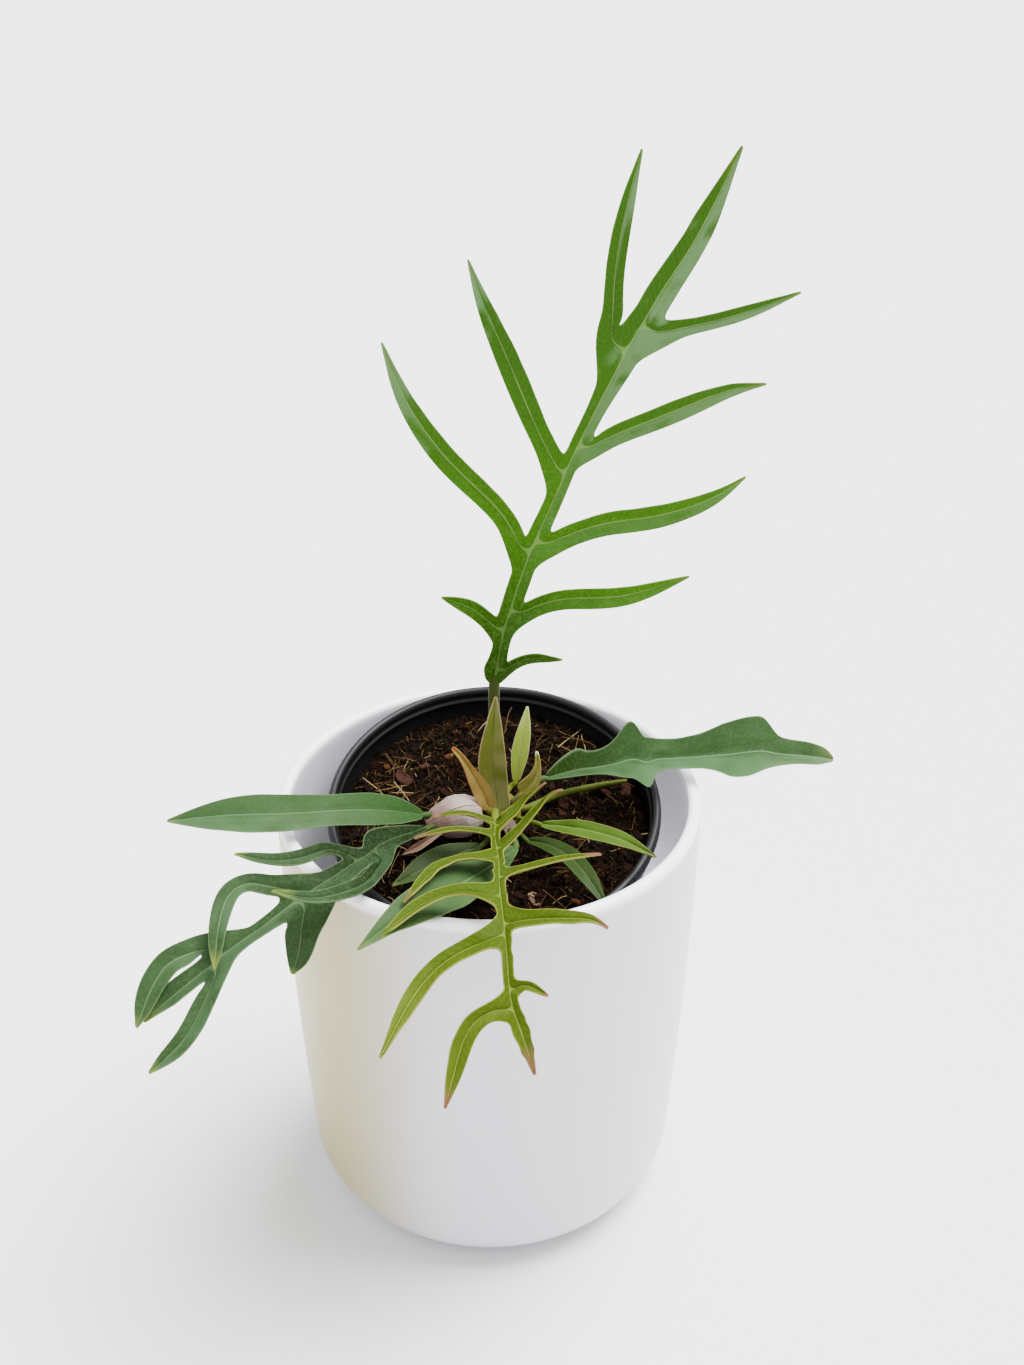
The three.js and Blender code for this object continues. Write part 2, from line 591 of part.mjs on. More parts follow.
Object.values(lances).forEach((lance) => Object.assign(lance, { lobes: [], step: 5 }));
const allLeaves = { ...leaves, ...lances };
Object.entries(allLeaves).forEach(([name, leaf]) => place(name, leafGeometry(leaf), leaf.finish));

// Crown: the short stem that every stalk grows from. It stands in a plain hole
// in the soil, and each stalk has its socket in it.

const crownRoute = [[2, 7, 139], [2.5, 6, 147], [3, 4.5, 152.5], [2.5, 4, 157.5], [2, 5, 162]];
const crownRadii = [5.5, 7, 8.8, 7, 3.4];
const crownBody = toSolid(stem(crownRoute, crownRadii, 0, CROWN_SIDES));
const aerialRoot = {
  stalk: [[7, 7, 152.2], [13, 5.5, 153.4], [25, 12, 154.8], [40, 16.6, 155.6], [50, 18.7, 156]],
  radii: [1, 1, 0.9, 0.9, 0.6],
  stalkRadius: 1,
};
const rooted = [...Object.values(allLeaves), aerialRoot];
const sockets = rooted.map((leaf) => toSolid(stalkRoom(leaf)));
const crown = sockets.reduce((body, socket) => body.subtract(socket), crownBody);
place('crown', toGeometry(crown), stemGreen);
const crownRoom = stem(crownRoute, crownRadii, GAP, CROWN_SIDES);

// Aerial root: it leaves the crown and creeps over the soil
place('aerial_root', stem(aerialRoot.stalk, aerialRoot.radii), stemGreen);

// Papery sheath: a torn, puffed trough over the left leaves' stalks,
// open underneath, with a dry strip hanging from its far end

const SHEATH_FROM = [-4, -1.6, 156.4];
const SHEATH_TO = [-18.8, -7.6, 158.2];
const SHEATH_SWELL = [6, 7.6, 8.2, 7.9, 7.2, 6.2, 5];
const SHEATH_ARC = [-35, 162].map(THREE.MathUtils.degToRad);
const SHEATH_FRONT_FLATTENING = 0.85;
const SHEATH_FACETS = 9;

function paperySheath() {
  const from = vec(SHEATH_FROM);
  const to = vec(SHEATH_TO);
  const along = to.clone().sub(from).normalize();
  const upward = new THREE.Vector3(0, 0, 1);
  const outward = upward.clone().cross(along).normalize();
  const points = [];
  const faces = [];
  SHEATH_SWELL.forEach((radius, i) => {
    const middle = from.clone().lerp(to, i / (SHEATH_SWELL.length - 1));
    for (let j = 0; j <= SHEATH_FACETS; j += 1) {
      const a = THREE.MathUtils.lerp(...SHEATH_ARC, j / SHEATH_FACETS);
      const flatten = j < SHEATH_FACETS / 2 ? SHEATH_FRONT_FLATTENING : 1;
      points.push(middle.clone()
        .addScaledVector(outward, radius * Math.cos(a) * flatten)
        .addScaledVector(upward, radius * Math.sin(a)));
    }
  });
  for (let i = 0; i < SHEATH_SWELL.length - 1; i += 1) {
    for (let j = 0; j < SHEATH_FACETS; j += 1) {
      const a = i * (SHEATH_FACETS + 1) + j;
      const b = a + SHEATH_FACETS + 1;
      faces.push([a, a + 1, b], [a + 1, b + 1, b]);
    }
  }
  const trough = thicken(points, faces, SHEATH_THICKNESS);
  const dryStrip = leafGeometry({
    stalk: [[-15.6, -11, 156], [-17.6, -12, 155.2], [-20, -13.2, 154.4]],
    stalkRadius: 0.6,
    midrib: [[-20, -13.2, 154.4], [-25, -16.3, 152.8], [-30, -19.5, 152.2]],
    wing: [0.8, 1.4, 0.3],
    facing: [0, -0.7, 0.7],
    lobes: [],
    step: 3,
  });
  return cut(join(trough, dryStrip), crownRoom);
}

place('papery_sheath', paperySheath(), paperSheath);

// Soil: a lumpy top, with chips of bark and coir standing out of it

function soilBody() {
  const draw = seeded(SOIL_SEED);
  const top = NURSERY_HEIGHT - SOIL_BELOW_RIM;
  const step = NURSERY_STEP + 0.5;
  const wallTop = NURSERY_WALL_TOP - NURSERY_WALL - GAP;
  const foot = NURSERY_FOOT_RADIUS - NURSERY_WALL - GAP;
  const segments = SOIL_SEGMENTS;
  const rings = [6, 12, 18, 24, 30, 36, 42, 48, wallTop + 0.2];
  const points = [new THREE.Vector3(0, 0, top)];
  rings.forEach((radius, i) => {
    const calm = radius < 10 || i === rings.length - 1 ? 0.2 : 1;
    for (let j = 0; j < segments; j += 1) {
      const a = (2 * Math.PI * (j + (i % 2) * 0.5)) / segments;
      const lump = (draw() * 2 - 1) * SOIL_ROUGHNESS * calm - (i === rings.length - 1 ? 1.2 : 0);
      points.push(new THREE.Vector3(radius * Math.cos(a), radius * Math.sin(a), top + lump));
    }
  });
  const shift = ((rings.length - 1) % 2) * 0.5;
  [[wallTop - 0.2, step - 1.5], [foot, NURSERY_WALL + GAP]].forEach(([radius, z]) => {
    for (let j = 0; j < segments; j += 1) {
      const a = (2 * Math.PI * (j + shift)) / segments;
      points.push(new THREE.Vector3(radius * Math.cos(a), radius * Math.sin(a), z));
    }
  });
  const bottom = points.push(new THREE.Vector3(0, 0, NURSERY_WALL + GAP)) - 1;
  const faces = [];
  const rows = rings.length + 2;
  for (let j = 0; j < segments; j += 1) {
    const next = (j + 1) % segments;
    faces.push([0, 1 + j, 1 + next]);
    for (let i = 0; i < rows - 1; i += 1) {
      const a = 1 + i * segments;
      const b = a + segments;
      faces.push([a + j, b + j, b + next], [a + j, b + next, a + next]);
    }
    const last = 1 + (rows - 1) * segments;
    faces.push([last + j, bottom, last + next]);
  }
  let soil = toSolid(closedGeometry(points, faces));
  for (let i = 0; i < SOIL_CHIPS; i += 1) {
    const a = draw() * 2 * Math.PI;
    const radius = 16 + draw() * 32;
    const chip = new THREE.IcosahedronGeometry(1, 0)
      .scale(2 + draw() * 2.5, 1.2 + draw() * 1.2, 0.9 + draw() * 0.6)
      .rotateX(draw() - 0.5)
      .rotateZ(draw() * Math.PI)
      .translate(radius * Math.cos(a), radius * Math.sin(a), top - 0.5);
    soil = soil.add(toSolid(chip));
  }
  return toGeometry(soil).scale(1, NURSERY_DEEPER, 1).applyMatrix4(nurseryFrame);
}

place('soil', cut(soilBody(), crownRoom), darkSoil);

export default model;
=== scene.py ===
# %% [markdown]
# # A young fishbone philodendron in its pots
# The real object is a small climbing plant. A short stem carries narrow lobed leaves, and
# stands in a black nursery pot inside a white ceramic cover pot. The solid model already
# gives every size and place. This lesson puts the fine surfaces over it. It thinks in
# millimetres, as a potter or a gardener would, and writes metres, as Blender does.

# %% Load the solid model
import math

import bmesh
import bpy
import numpy as np
from mathutils import Matrix, Vector, noise


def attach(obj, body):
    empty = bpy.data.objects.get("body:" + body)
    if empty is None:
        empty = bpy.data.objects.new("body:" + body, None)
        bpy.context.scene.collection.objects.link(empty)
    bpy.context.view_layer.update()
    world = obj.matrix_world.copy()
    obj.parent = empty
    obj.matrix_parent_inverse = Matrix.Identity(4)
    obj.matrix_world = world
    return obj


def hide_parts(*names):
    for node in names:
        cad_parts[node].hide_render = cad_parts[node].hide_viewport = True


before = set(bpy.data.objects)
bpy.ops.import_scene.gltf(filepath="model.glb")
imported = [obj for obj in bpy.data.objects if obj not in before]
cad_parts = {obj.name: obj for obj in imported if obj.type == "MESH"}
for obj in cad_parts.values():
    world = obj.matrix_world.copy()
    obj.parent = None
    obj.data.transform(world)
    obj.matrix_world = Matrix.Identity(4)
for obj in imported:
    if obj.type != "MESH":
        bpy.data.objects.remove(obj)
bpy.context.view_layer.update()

MM = 0.001
print("solid nodes:", len(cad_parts))

# %% [markdown]
# ## Camera
# The picture is taken from above the rim, close enough for the pot to taper in perspective.
# A camera at a measured place is surer than one moved by eye, because every leaf was placed
# through the same lens.

# %% Camera
PITCH = math.radians(30.55)
YAW = math.radians(0.99)
bpy.ops.object.camera_add(location=(0, -0.4633, 0.4824), rotation=(math.pi / 2 - PITCH, 0, -YAW))
camera = bpy.context.active_object
camera.data.lens = 42.2
camera.data.clip_start = 0.01
bpy.context.scene.camera = camera
print("camera looks down by", round(math.degrees(PITCH), 1), "degrees")

# %% [markdown]
# ## Light
# Product light is soft: a bright room, and one large lamp high on the right behind the pot.
# The lamp is a sun with a very wide disc, whose light is as strong at the tips as at the
# foot. The bright room would do alone, but then the glaze has no shape. Two small lamps low
# in the gap between the pots lift the shade there, as light through a thin white wall does.

# %% Light
world = bpy.data.worlds.new("bright room")
bpy.context.scene.world = world
world.use_nodes = True
room = world.node_tree.nodes["Background"]
room.inputs["Color"].default_value = (0.98, 0.98, 1.0, 1.0)
room.inputs["Strength"].default_value = 1.7


def lamp(name, place, target, size, power, colour):
    """A square soft box that faces its target"""
    bpy.ops.object.light_add(type="AREA", location=place)
    light = bpy.context.active_object
    light.name = name
    light.data.size = size
    light.data.energy = power
    light.data.color = colour
    light.rotation_euler = (Vector(target) - Vector(place)).to_track_quat("-Z", "Y").to_euler()


bpy.ops.object.light_add(type="SUN", rotation=(math.radians(-12), math.radians(23), 0))
sun = bpy.context.active_object
sun.data.angle = math.radians(44)
sun.data.energy = 12.2
lamp("gap_right", (0.053, 0.005, 0.03), (0.06, 0.005, 0.2), 0.025, 0.56, (0.97, 0.98, 1))
lamp("gap_left", (-0.053, 0.005, 0.03), (-0.06, 0.005, 0.2), 0.025, 0.05, (0.95, 0.97, 1))

# %% [markdown]
# ## Floor
# The pot stands on a plain pale surface that runs on out of the picture. One very wide
# plane keeps its edge out of sight, which a table top of real size would not.

# %% Floor
bpy.ops.mesh.primitive_plane_add(size=60)
floor = bpy.context.active_object
floor.name = "floor"
print("floor is", floor.dimensions.x, "m wide")

# %% [markdown]
# ## Materials as sums
# A finish is a few patterns added together. Written as node links that is hard to read, so
# a small class lets a socket be added and multiplied like a number, and one method adds
# any other node.

# %% Sums on sockets, and colours
class Value:
    """A socket of a finish, for sums in Python"""

    def __init__(self, finish, socket):
        self.finish = finish
        self.socket = socket

    def sum(self, operation, first, second):
        return self.finish.node("Math", {"operation": operation}, {0: first, 1: second})

    def __add__(self, other):
        return self.sum("ADD", self, other)

    def __radd__(self, other):
        return self.sum("ADD", other, self)

    def __sub__(self, other):
        return self.sum("SUBTRACT", self, other)

    def __rsub__(self, other):
        return self.sum("SUBTRACT", other, self)

    def __mul__(self, other):
        return self.sum("MULTIPLY", self, other)

    def __rmul__(self, other):
        return self.sum("MULTIPLY", other, self)


def tint(code):
    """A screen colour such as 4f8a34 as the colour that a shader takes"""
    parts = [int(code[i:i + 2], 16) / 255 for i in (0, 2, 4)]
    return (*[p / 12.92 if p <= 0.04045 else ((p + 0.055) / 1.055) ** 2.4 for p in parts], 1.0)


print("leaf green 4f8a34 in the shader's numbers:", [round(part, 3) for part in tint("4f8a34")])


# %% A finish and its patterns
class Finish:
    """A material while it is being made"""

    def __init__(self, name, **surface):
        self.material = bpy.data.materials.new(name)
        self.material.use_nodes = True
        self.tree = self.material.node_tree
        self.shader = self.tree.nodes["Principled BSDF"]
        self.surface(**surface)

    def feed(self, socket, value):
        if isinstance(value, Value):
            self.tree.links.new(value.socket, socket)
        else:
            socket.default_value = value

    def node(self, kind, settings=None, inputs=None, output=0):
        made = self.tree.nodes.new("ShaderNode" + kind)
        for key, value in (settings or {}).items():
            setattr(made, key, value)
        for key, value in (inputs or {}).items():
            self.feed(made.inputs[key], value)
        return Value(self, made.outputs[output])

    def surface(self, **inputs):
        for name, value in inputs.items():
            self.feed(self.shader.inputs[name.replace("_", " ")], value)

    def place(self):
        return self.node("TexCoord", output="Object")

    def axis(self, letter):
        """How far along x, y or z a point of the surface lies, in metres"""
        return self.node("SeparateXYZ", None, {0: self.place()}, "xyz".index(letter))

    def cloud(self, scale, detail=3.0):
        """Noise from 0 to 1, with scale patches to the metre"""
        return self.node("TexNoise", None, {"Vector": self.place(), "Scale": scale, "Detail": detail})

    def fact(self, name):
        """A number that the mesh carries at its vertices"""
        return self.node("Attribute", {"attribute_name": name}, output="Fac")

    def ramp(self, value, low, high):
        """0 below low, 1 above high and smooth between"""
        return self.node("MapRange", {"interpolation_type": "SMOOTHSTEP"}, {
            "Value": value, "From Min": low, "From Max": high})

    def stripes(self, distance, spacing):
        """Waves from 0 to 1 over a distance, with their tops spacing apart"""
        turns = distance * (2 * math.pi / spacing)
        return 0.5 + 0.5 * self.node("Math", {"operation": "COSINE"}, {0: turns})

    def mix(self, share, first, second):
        return self.node("Mix", {"data_type": "RGBA"}, {0: share, 6: first, 7: second}, 2)

    def relief(self, height, depth_mm):
        """Raises the surface where height is 1, by about depth_mm"""
        self.surface(Normal=self.node("Bump", None, {
            "Height": height, "Distance": depth_mm * MM, "Strength": 1.0}))


print("what a finish can do:", [name for name in vars(Finish) if not name.startswith("_")])

# %% Floor paint
floor_paint = Finish("floor paint", Roughness=0.9, Base_Color=tint("e8e8e8"))
floor.data.materials.append(floor_paint.material)
print("floor paint nodes:", len(floor_paint.tree.nodes))

# %% [markdown]
# ## Turned pots
# Both pots are round, so each is one profile turned about its axis. The profile is drawn
# as a potter draws it, by extruding a point from the middle of the foot, up the outside,
# over the lip and down the inside. A cylinder cut to shape would need more steps, and its
# lip would be harder to round.

# %% Draw and turn a profile
def arc(centre, radius, first, last, steps):
    """Points (radius, height) on an arc between two angles in degrees, 0 pointing outwards"""
    angles = np.radians(np.linspace(first, last, steps + 1))
    return [(centre[0] + radius * math.cos(a), centre[1] + radius * math.sin(a)) for a in angles]


def only(piece):
    """Selects one object and nothing else"""
    bpy.ops.object.select_all(action="DESELECT")
    piece.select_set(True)
    bpy.context.view_layer.objects.active = piece


def modify(piece, kind, **settings):
    """Adds a modifier to a piece, sets it and applies it"""
    only(piece)
    bpy.ops.object.modifier_add(type=kind)
    modifier = piece.modifiers[-1]
    for name, value in settings.items():
        setattr(modifier, name, value)
    bpy.ops.object.modifier_apply(modifier=modifier.name)


def turned(name, profile, steps):
    """A closed shell: the profile in millimetres, spun about the Z axis"""
    bpy.ops.mesh.primitive_plane_add(size=MM)
    piece = bpy.context.active_object
    piece.name = name
    bpy.ops.object.mode_set(mode="EDIT")
    bpy.ops.mesh.select_mode(type="VERT")
    bpy.ops.mesh.merge(type="CENTER")
    start = profile[0]
    bpy.ops.transform.translate(value=(start[0] * MM, 0, start[1] * MM))
    for (r0, z0), (r1, z1) in zip(profile, profile[1:]):
        bpy.ops.mesh.extrude_vertices_move(
            TRANSFORM_OT_translate={"value": ((r1 - r0) * MM, 0, (z1 - z0) * MM)})
    bpy.ops.mesh.select_all(action="SELECT")
    bpy.ops.mesh.spin(steps=steps, angle=2 * math.pi, center=(0, 0, 0), axis=(0, 0, 1))
    bpy.ops.mesh.select_all(action="SELECT")
    bpy.ops.mesh.remove_doubles(threshold=0.00001)
    bpy.ops.mesh.normals_make_consistent(inside=False)
    bpy.ops.object.mode_set(mode="OBJECT")
    bpy.ops.object.shade_smooth_by_angle(angle=math.radians(45))
    return piece


print("a quarter of an arc of 10 mm:", [[round(v, 1) for v in p] for p in arc((0, 0), 10, 0, 90, 2)])

# %% Cover pot
COVER_HEIGHT = 165
COVER_RIM = 74
COVER_WALL = 4.5
COVER_FLOOR = 6
FOOT_ROUNDING = 20.5
FLOOR_ROUNDING = 12


def cover_radius(z):
    t = z / COVER_HEIGHT
    return COVER_RIM - 6.1 * (1 - t) ** 2 * (1 + 0.15 * t)


lip = COVER_WALL / 2
wall = np.linspace(26, 158, 14)
inner = np.linspace(158, 22, 12)
foot_flat = cover_radius(FOOT_ROUNDING) - FOOT_ROUNDING
floor_flat = cover_radius(COVER_FLOOR + FLOOR_ROUNDING) - COVER_WALL - FLOOR_ROUNDING
cover_profile = (
    [(0, 0), (foot_flat * 0.6, 0)]
    + arc((foot_flat, FOOT_ROUNDING), FOOT_ROUNDING, -90, 0, 14)
    + [(cover_radius(z), z) for z in wall]
    + arc((COVER_RIM - lip, COVER_HEIGHT - lip), lip, 0, 180, 12)
    + [(cover_radius(z) - COVER_WALL, z) for z in inner]
    + arc((floor_flat, COVER_FLOOR + FLOOR_ROUNDING), FLOOR_ROUNDING, 0, -90, 8)
    + [(floor_flat * 0.5, COVER_FLOOR), (0, COVER_FLOOR)])
cover_pot = turned("glazed_cover_pot", cover_profile, steps=144)
outside = cover_pot.data.attributes.new("outside", "FLOAT", "POINT")
for k, vertex in enumerate(cover_pot.data.vertices):
    x, y, z = vertex.co / MM
    outside.data[k].value = math.hypot(x, y) > cover_radius(z) - lip
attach(cover_pot, "root")
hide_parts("cover_pot")
print("cover pot:", len(cover_pot.data.polygons), "faces")

# %% [markdown]
# ## Glaze
# The cover pot has a white satin glaze. A glaze is never quite even: it pools a little, carries fine
# dimples, and shows the odd speck. A cream band down the left is a painted reflection of warm light, and
# the whiter lip is a painted highlight. All of these are kept faint, because the real pot reads as one
# clean white from a step away.

# %% Glaze
glaze = Finish("satin white glaze", Coat_Weight=0.25, Coat_Roughness=0.22)
pooled = glaze.cloud(14, 2)
dimples = glaze.cloud(420, 3)
speck = glaze.ramp(glaze.cloud(900, 1), 0.74, 0.80)
# The painted warm reflection lies on the left and a little to the front
towards_band = -0.93 * glaze.axis("x") - 0.37 * glaze.axis("y")
white = glaze.mix(pooled, tint("cccbd3"), tint("c5c4cb"))
painted_warm_reflection = glaze.ramp(towards_band + pooled * 0.004, 38 * MM, 78 * MM) * glaze.fact("outside")
# Painted reflection: the outside of the pot turns cream in that band, as if lit by warm light from the left
white = glaze.mix(painted_warm_reflection, white, tint("9c9048"))
# Painted highlight: the lip is painted whiter
lip_highlight = glaze.ramp(glaze.axis("z"), 160.5 * MM, 164 * MM)
white = glaze.mix(lip_highlight, white, tint("fafafe"))
glaze.surface(Base_Color=glaze.mix(speck * 0.25, white, tint("b9b2a6")))
glaze.surface(Roughness=0.33 + 0.08 * pooled)
glaze.relief(dimples * 0.6 + pooled * 0.4, 0.05)
cover_pot.data.materials.append(glaze.material)
print("glaze nodes:", len(glaze.tree.nodes))

# %% [markdown]
# ## Smooth routes
# Rims, stalks and midribs all follow smooth curves through a few measured points. One
# class gives a place and a heading at any distance along such a curve.

# %% Smooth routes
def unit(v):
    return v / np.linalg.norm(v)


STEPS_PER_SPAN = 40


class Route:
    """A smooth curve through points, measured along its length"""

    def __init__(self, points):
        p = np.array(points, float)
        p = np.vstack([2 * p[0] - p[1], p, 2 * p[-1] - p[-2]])
        t = np.linspace(0, 1, STEPS_PER_SPAN, endpoint=False)[:, None]
        spans = []
        for a, b, c, d in zip(p, p[1:], p[2:], p[3:]):
            leave, arrive = (c - a) / 2, (d - b) / 2
            spans.append((2 * t ** 3 - 3 * t ** 2 + 1) * b + (t ** 3 - 2 * t ** 2 + t) * leave
                         + (3 * t ** 2 - 2 * t ** 3) * c + (t ** 3 - t ** 2) * arrive)
        self.points = np.vstack(spans + [p[-2:-1]])
        steps = np.linalg.norm(np.diff(self.points, axis=0), axis=1)
        self.reach = np.concatenate([[0], np.cumsum(steps)])
        self.length = self.reach[-1]

    def at(self, s):
        return np.array([np.interp(s, self.reach, column) for column in self.points.T])

    def heading(self, s):
        near = self.length * 0.005
        return unit(self.at(min(s + near, self.length)) - self.at(max(s - near, 0)))


straight = Route([(0, 0, 0), (10, 0, 0)])
print("a route through two points 10 mm apart is", round(straight.length, 2), "mm long")

# %% [markdown]
# ## Nursery pot
# Plants are sold in thin pressed pots with a step near the top, a rolled rim and holes in
# the foot. The rim is the part that shows, so its roll is drawn point by point and smoothed
# as a route, and the whole profile is turned like the cover pot's. Then the holes are
# drilled, which is simpler than building the foot round them. The pot is too slim for its
# cover, so it leans, and its soft wall is squeezed to an oval.

# %% Nursery pot
NURSERY_RIM = 59
NURSERY_FOOT = 36
NURSERY_HEIGHT = 150
NURSERY_WALL = 1.2
STEP = NURSERY_HEIGHT - 14
WALL_TOP = NURSERY_RIM - 4
NURSERY_STANDS_AT = Vector((1.7, 19.5, 11))
NURSERY_LEAN = math.radians(6.5)
# How much deeper, from front to back, the squeezed pot is than wide
NURSERY_DEEPER = 1.13
nursery_place = (Matrix.Translation(NURSERY_STANDS_AT * MM) @ Matrix.Rotation(NURSERY_LEAN, 4, "X")
                 @ Matrix.Scale(NURSERY_DEEPER, 4, (0, 1, 0)))
rim, top = NURSERY_RIM, NURSERY_HEIGHT
rolled = Route([(rim - 1.9, top - 4.4, 0), (rim - 0.4, top - 4.2, 0), (rim, top - 2.4, 0),
                (rim - 0.5, top - 0.7, 0), (rim - 1.5, top, 0), (rim - 2.6, top - 0.4, 0),
                (rim - 3.1, top - 1.6, 0), (rim - 3.15, top - 3.4, 0), (rim - 3.8, top - 4.2, 0),
                (rim - 3.8, top - 5, 0), (rim - 3.2, top - 5.6, 0), (rim - 3.3, top - 7, 0)])
nursery_profile = (
    [(0, 0), (NURSERY_FOOT - 1, 0), (NURSERY_FOOT, 1), (WALL_TOP, STEP), (rim - 2.2, STEP + 3)]
    + [tuple(rolled.at(s)[:2]) for s in np.linspace(0, rolled.length, 34)]
    + [(rim - 3.4, STEP + 3.5), (WALL_TOP - NURSERY_WALL, STEP + 0.5),
       (NURSERY_FOOT - NURSERY_WALL, NURSERY_WALL), (0, NURSERY_WALL)])
nursery_pot = turned("nursery_pot_fine", nursery_profile, steps=128)
HOLES = 6
HOLE_RADIUS = 3.5
HOLE_RING = 24
for i in range(HOLES):
    a = 2 * math.pi * i / HOLES
    bpy.ops.mesh.primitive_cylinder_add(
        vertices=24, radius=HOLE_RADIUS * MM, depth=6 * MM,
        location=(HOLE_RING * MM * math.cos(a), HOLE_RING * MM * math.sin(a), 0))
    drill = bpy.context.active_object
    modify(nursery_pot, "BOOLEAN", object=drill, solver="FAST")
    bpy.data.objects.remove(drill)
nursery_pot.data.transform(nursery_place)
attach(nursery_pot, "root")
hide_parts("nursery_pot")
print("nursery pot:", len(nursery_pot.data.polygons), "faces")

# %% [markdown]
# ## Black plastic
# Thin pots are pressed from recycled plastic. They are nearly black with a cool sheen, a
# very fine grain, and a little dry soil dust where the rim has been touched.

# %% Black plastic
plastic = Finish("black nursery plastic", Specular_IOR_Level=0.25)
grain = plastic.cloud(1800, 2)
smears = plastic.cloud(60, 4)
dust = plastic.ramp(plastic.cloud(230, 5), 0.60, 0.75)
plastic.surface(
    Base_Color=plastic.mix(dust * 0.2, plastic.mix(smears, tint("020204"), tint("07080c")), tint("1c1611")),
    Roughness=0.40 + 0.2 * smears)
plastic.relief(grain, 0.03)
nursery_pot.data.materials.append(plastic.material)
print("plastic nodes:", len(plastic.tree.nodes))

# %% [markdown]
# ## Soil
# The pot is filled with dark peat and coir: a lumpy bed, then crumbs, bark chips and
# many fine fibres on top. The bed is a grid pressed into a round, displaced by several
# sizes of noise. Loose bits are each modelled once, and copied into one mesh, every copy
# turned, bent and coloured by a seeded draw.

# %% Soil bed
SOIL_TOP = NURSERY_HEIGHT - 9.5
SOIL_RADIUS = 54.9
SOIL_BOTTOM = 1.6
SOIL_GRID = 170
# Under its edge the soil narrows to a shoulder at the pot's step, and then to the foot
SHOULDER = STEP - 2
SHOULDER_SHARE = 0.97
FOOT_SHARE = 0.64
bpy.ops.mesh.primitive_grid_add(x_subdivisions=SOIL_GRID, y_subdivisions=SOIL_GRID, size=2)
soil = bpy.context.active_object
soil.name = "soil_bed"


def lumps(x, y):
    """Height of the soil over its level, in millimetres"""
    p = Vector((x, y, 0))
    r = math.hypot(x, y)
    height = 1.3 * noise.noise(p / 17) + 1.5 * noise.noise(p / 6) + 1.2 * noise.noise(p / 2.3)
    height += 0.45 * abs(noise.noise(p / 0.9))
    sunk = 1.6 * max(0, (r - 44) / 11) ** 2
    return height - sunk


for vertex in soil.data.vertices:
    u, v = vertex.co.x, vertex.co.y
    x = SOIL_RADIUS * u * math.sqrt(1 - v * v / 2)
    y = SOIL_RADIUS * v * math.sqrt(1 - u * u / 2)
    vertex.co = Vector((x, y, SOIL_TOP + lumps(x, y))) * MM
bpy.ops.object.mode_set(mode="EDIT")
bpy.ops.mesh.select_mode(type="EDGE")
bpy.ops.mesh.select_all(action="DESELECT")
bpy.ops.mesh.select_non_manifold()
bpy.ops.mesh.extrude_region_move(TRANSFORM_OT_translate={"value": (0, 0, -6 * MM)})
bpy.ops.transform.resize(value=(SHOULDER_SHARE, SHOULDER_SHARE, 0), center_override=(0, 0, SHOULDER * MM))
bpy.ops.mesh.extrude_region_move(
    TRANSFORM_OT_translate={"value": (0, 0, (SOIL_BOTTOM - SHOULDER) * MM)})
bpy.ops.transform.resize(value=(FOOT_SHARE, FOOT_SHARE, 1), center_override=(0, 0, SOIL_BOTTOM * MM))
bpy.ops.mesh.edge_face_add()
bpy.ops.mesh.select_all(action="SELECT")
bpy.ops.mesh.normals_make_consistent(inside=False)
bpy.ops.object.mode_set(mode="OBJECT")
bpy.ops.object.shade_smooth_by_angle(angle=math.radians(60))
soil.data.transform(nursery_place)
print("soil bed:", len(soil.data.polygons), "faces")

# %% Loose bits, each modelled once
def taken(piece):
    """A piece's vertices in millimetres and its faces, and removes the piece"""
    verts = np.array([v.co[:] for v in piece.data.vertices]) / MM
    faces = [tuple(p.vertices) for p in piece.data.polygons]
    bpy.data.objects.remove(piece)
    return verts, faces


bpy.ops.mesh.primitive_cylinder_add(vertices=3, radius=0.5 * MM, depth=1 * MM)
bpy.ops.object.mode_set(mode="EDIT")
for cut in (-0.3, -0.1, 0.1, 0.3):
    bpy.ops.mesh.select_all(action="SELECT")
    bpy.ops.mesh.bisect(plane_co=(0, 0, cut * MM), plane_no=(0, 0, 1))
bpy.ops.object.mode_set(mode="OBJECT")
fibre = taken(bpy.context.active_object)

bpy.ops.mesh.primitive_ico_sphere_add(subdivisions=1, radius=0.5 * MM)
crumb = taken(bpy.context.active_object)

bpy.ops.mesh.primitive_cube_add(size=1 * MM)
bpy.ops.object.mode_set(mode="EDIT")
bpy.ops.mesh.bevel(offset=0.22 * MM, offset_type="OFFSET", segments=1, affect="EDGES")
bpy.ops.object.mode_set(mode="OBJECT")
chip = taken(bpy.context.active_object)
print("faces of a fibre, a crumb and a chip:", len(fibre[1]), len(crumb[1]), len(chip[1]))


# %% Sizes of the loose bits
def lump(small, large, wide, thick):
    """Draws the sizes of a lump: its length, and its width and thickness as shares of that"""
    def sizes(draw):
        length = draw.uniform(small, large)
        return length * np.array([1, draw.uniform(*wide), draw.uniform(*thick)])
    return sizes


def thread(widths, lengths):
    """Draws the sizes of a thread: its width both ways, then its length"""
    def sizes(draw):
        width = draw.uniform(*widths)
        return np.array([width, width, draw.uniform(*lengths)])
    return sizes


trial = np.random.default_rng(1)
print("a lump of 1 to 2 mm, drawn once:", lump(1, 2, (0.5, 1), (0.5, 1))(trial).round(2))


# %% Scatter the loose bits
def turn_matrix(yaw, pitch):
    return np.array(Matrix.Rotation(yaw, 3, "Z") @ Matrix.Rotation(pitch, 3, "Y"))


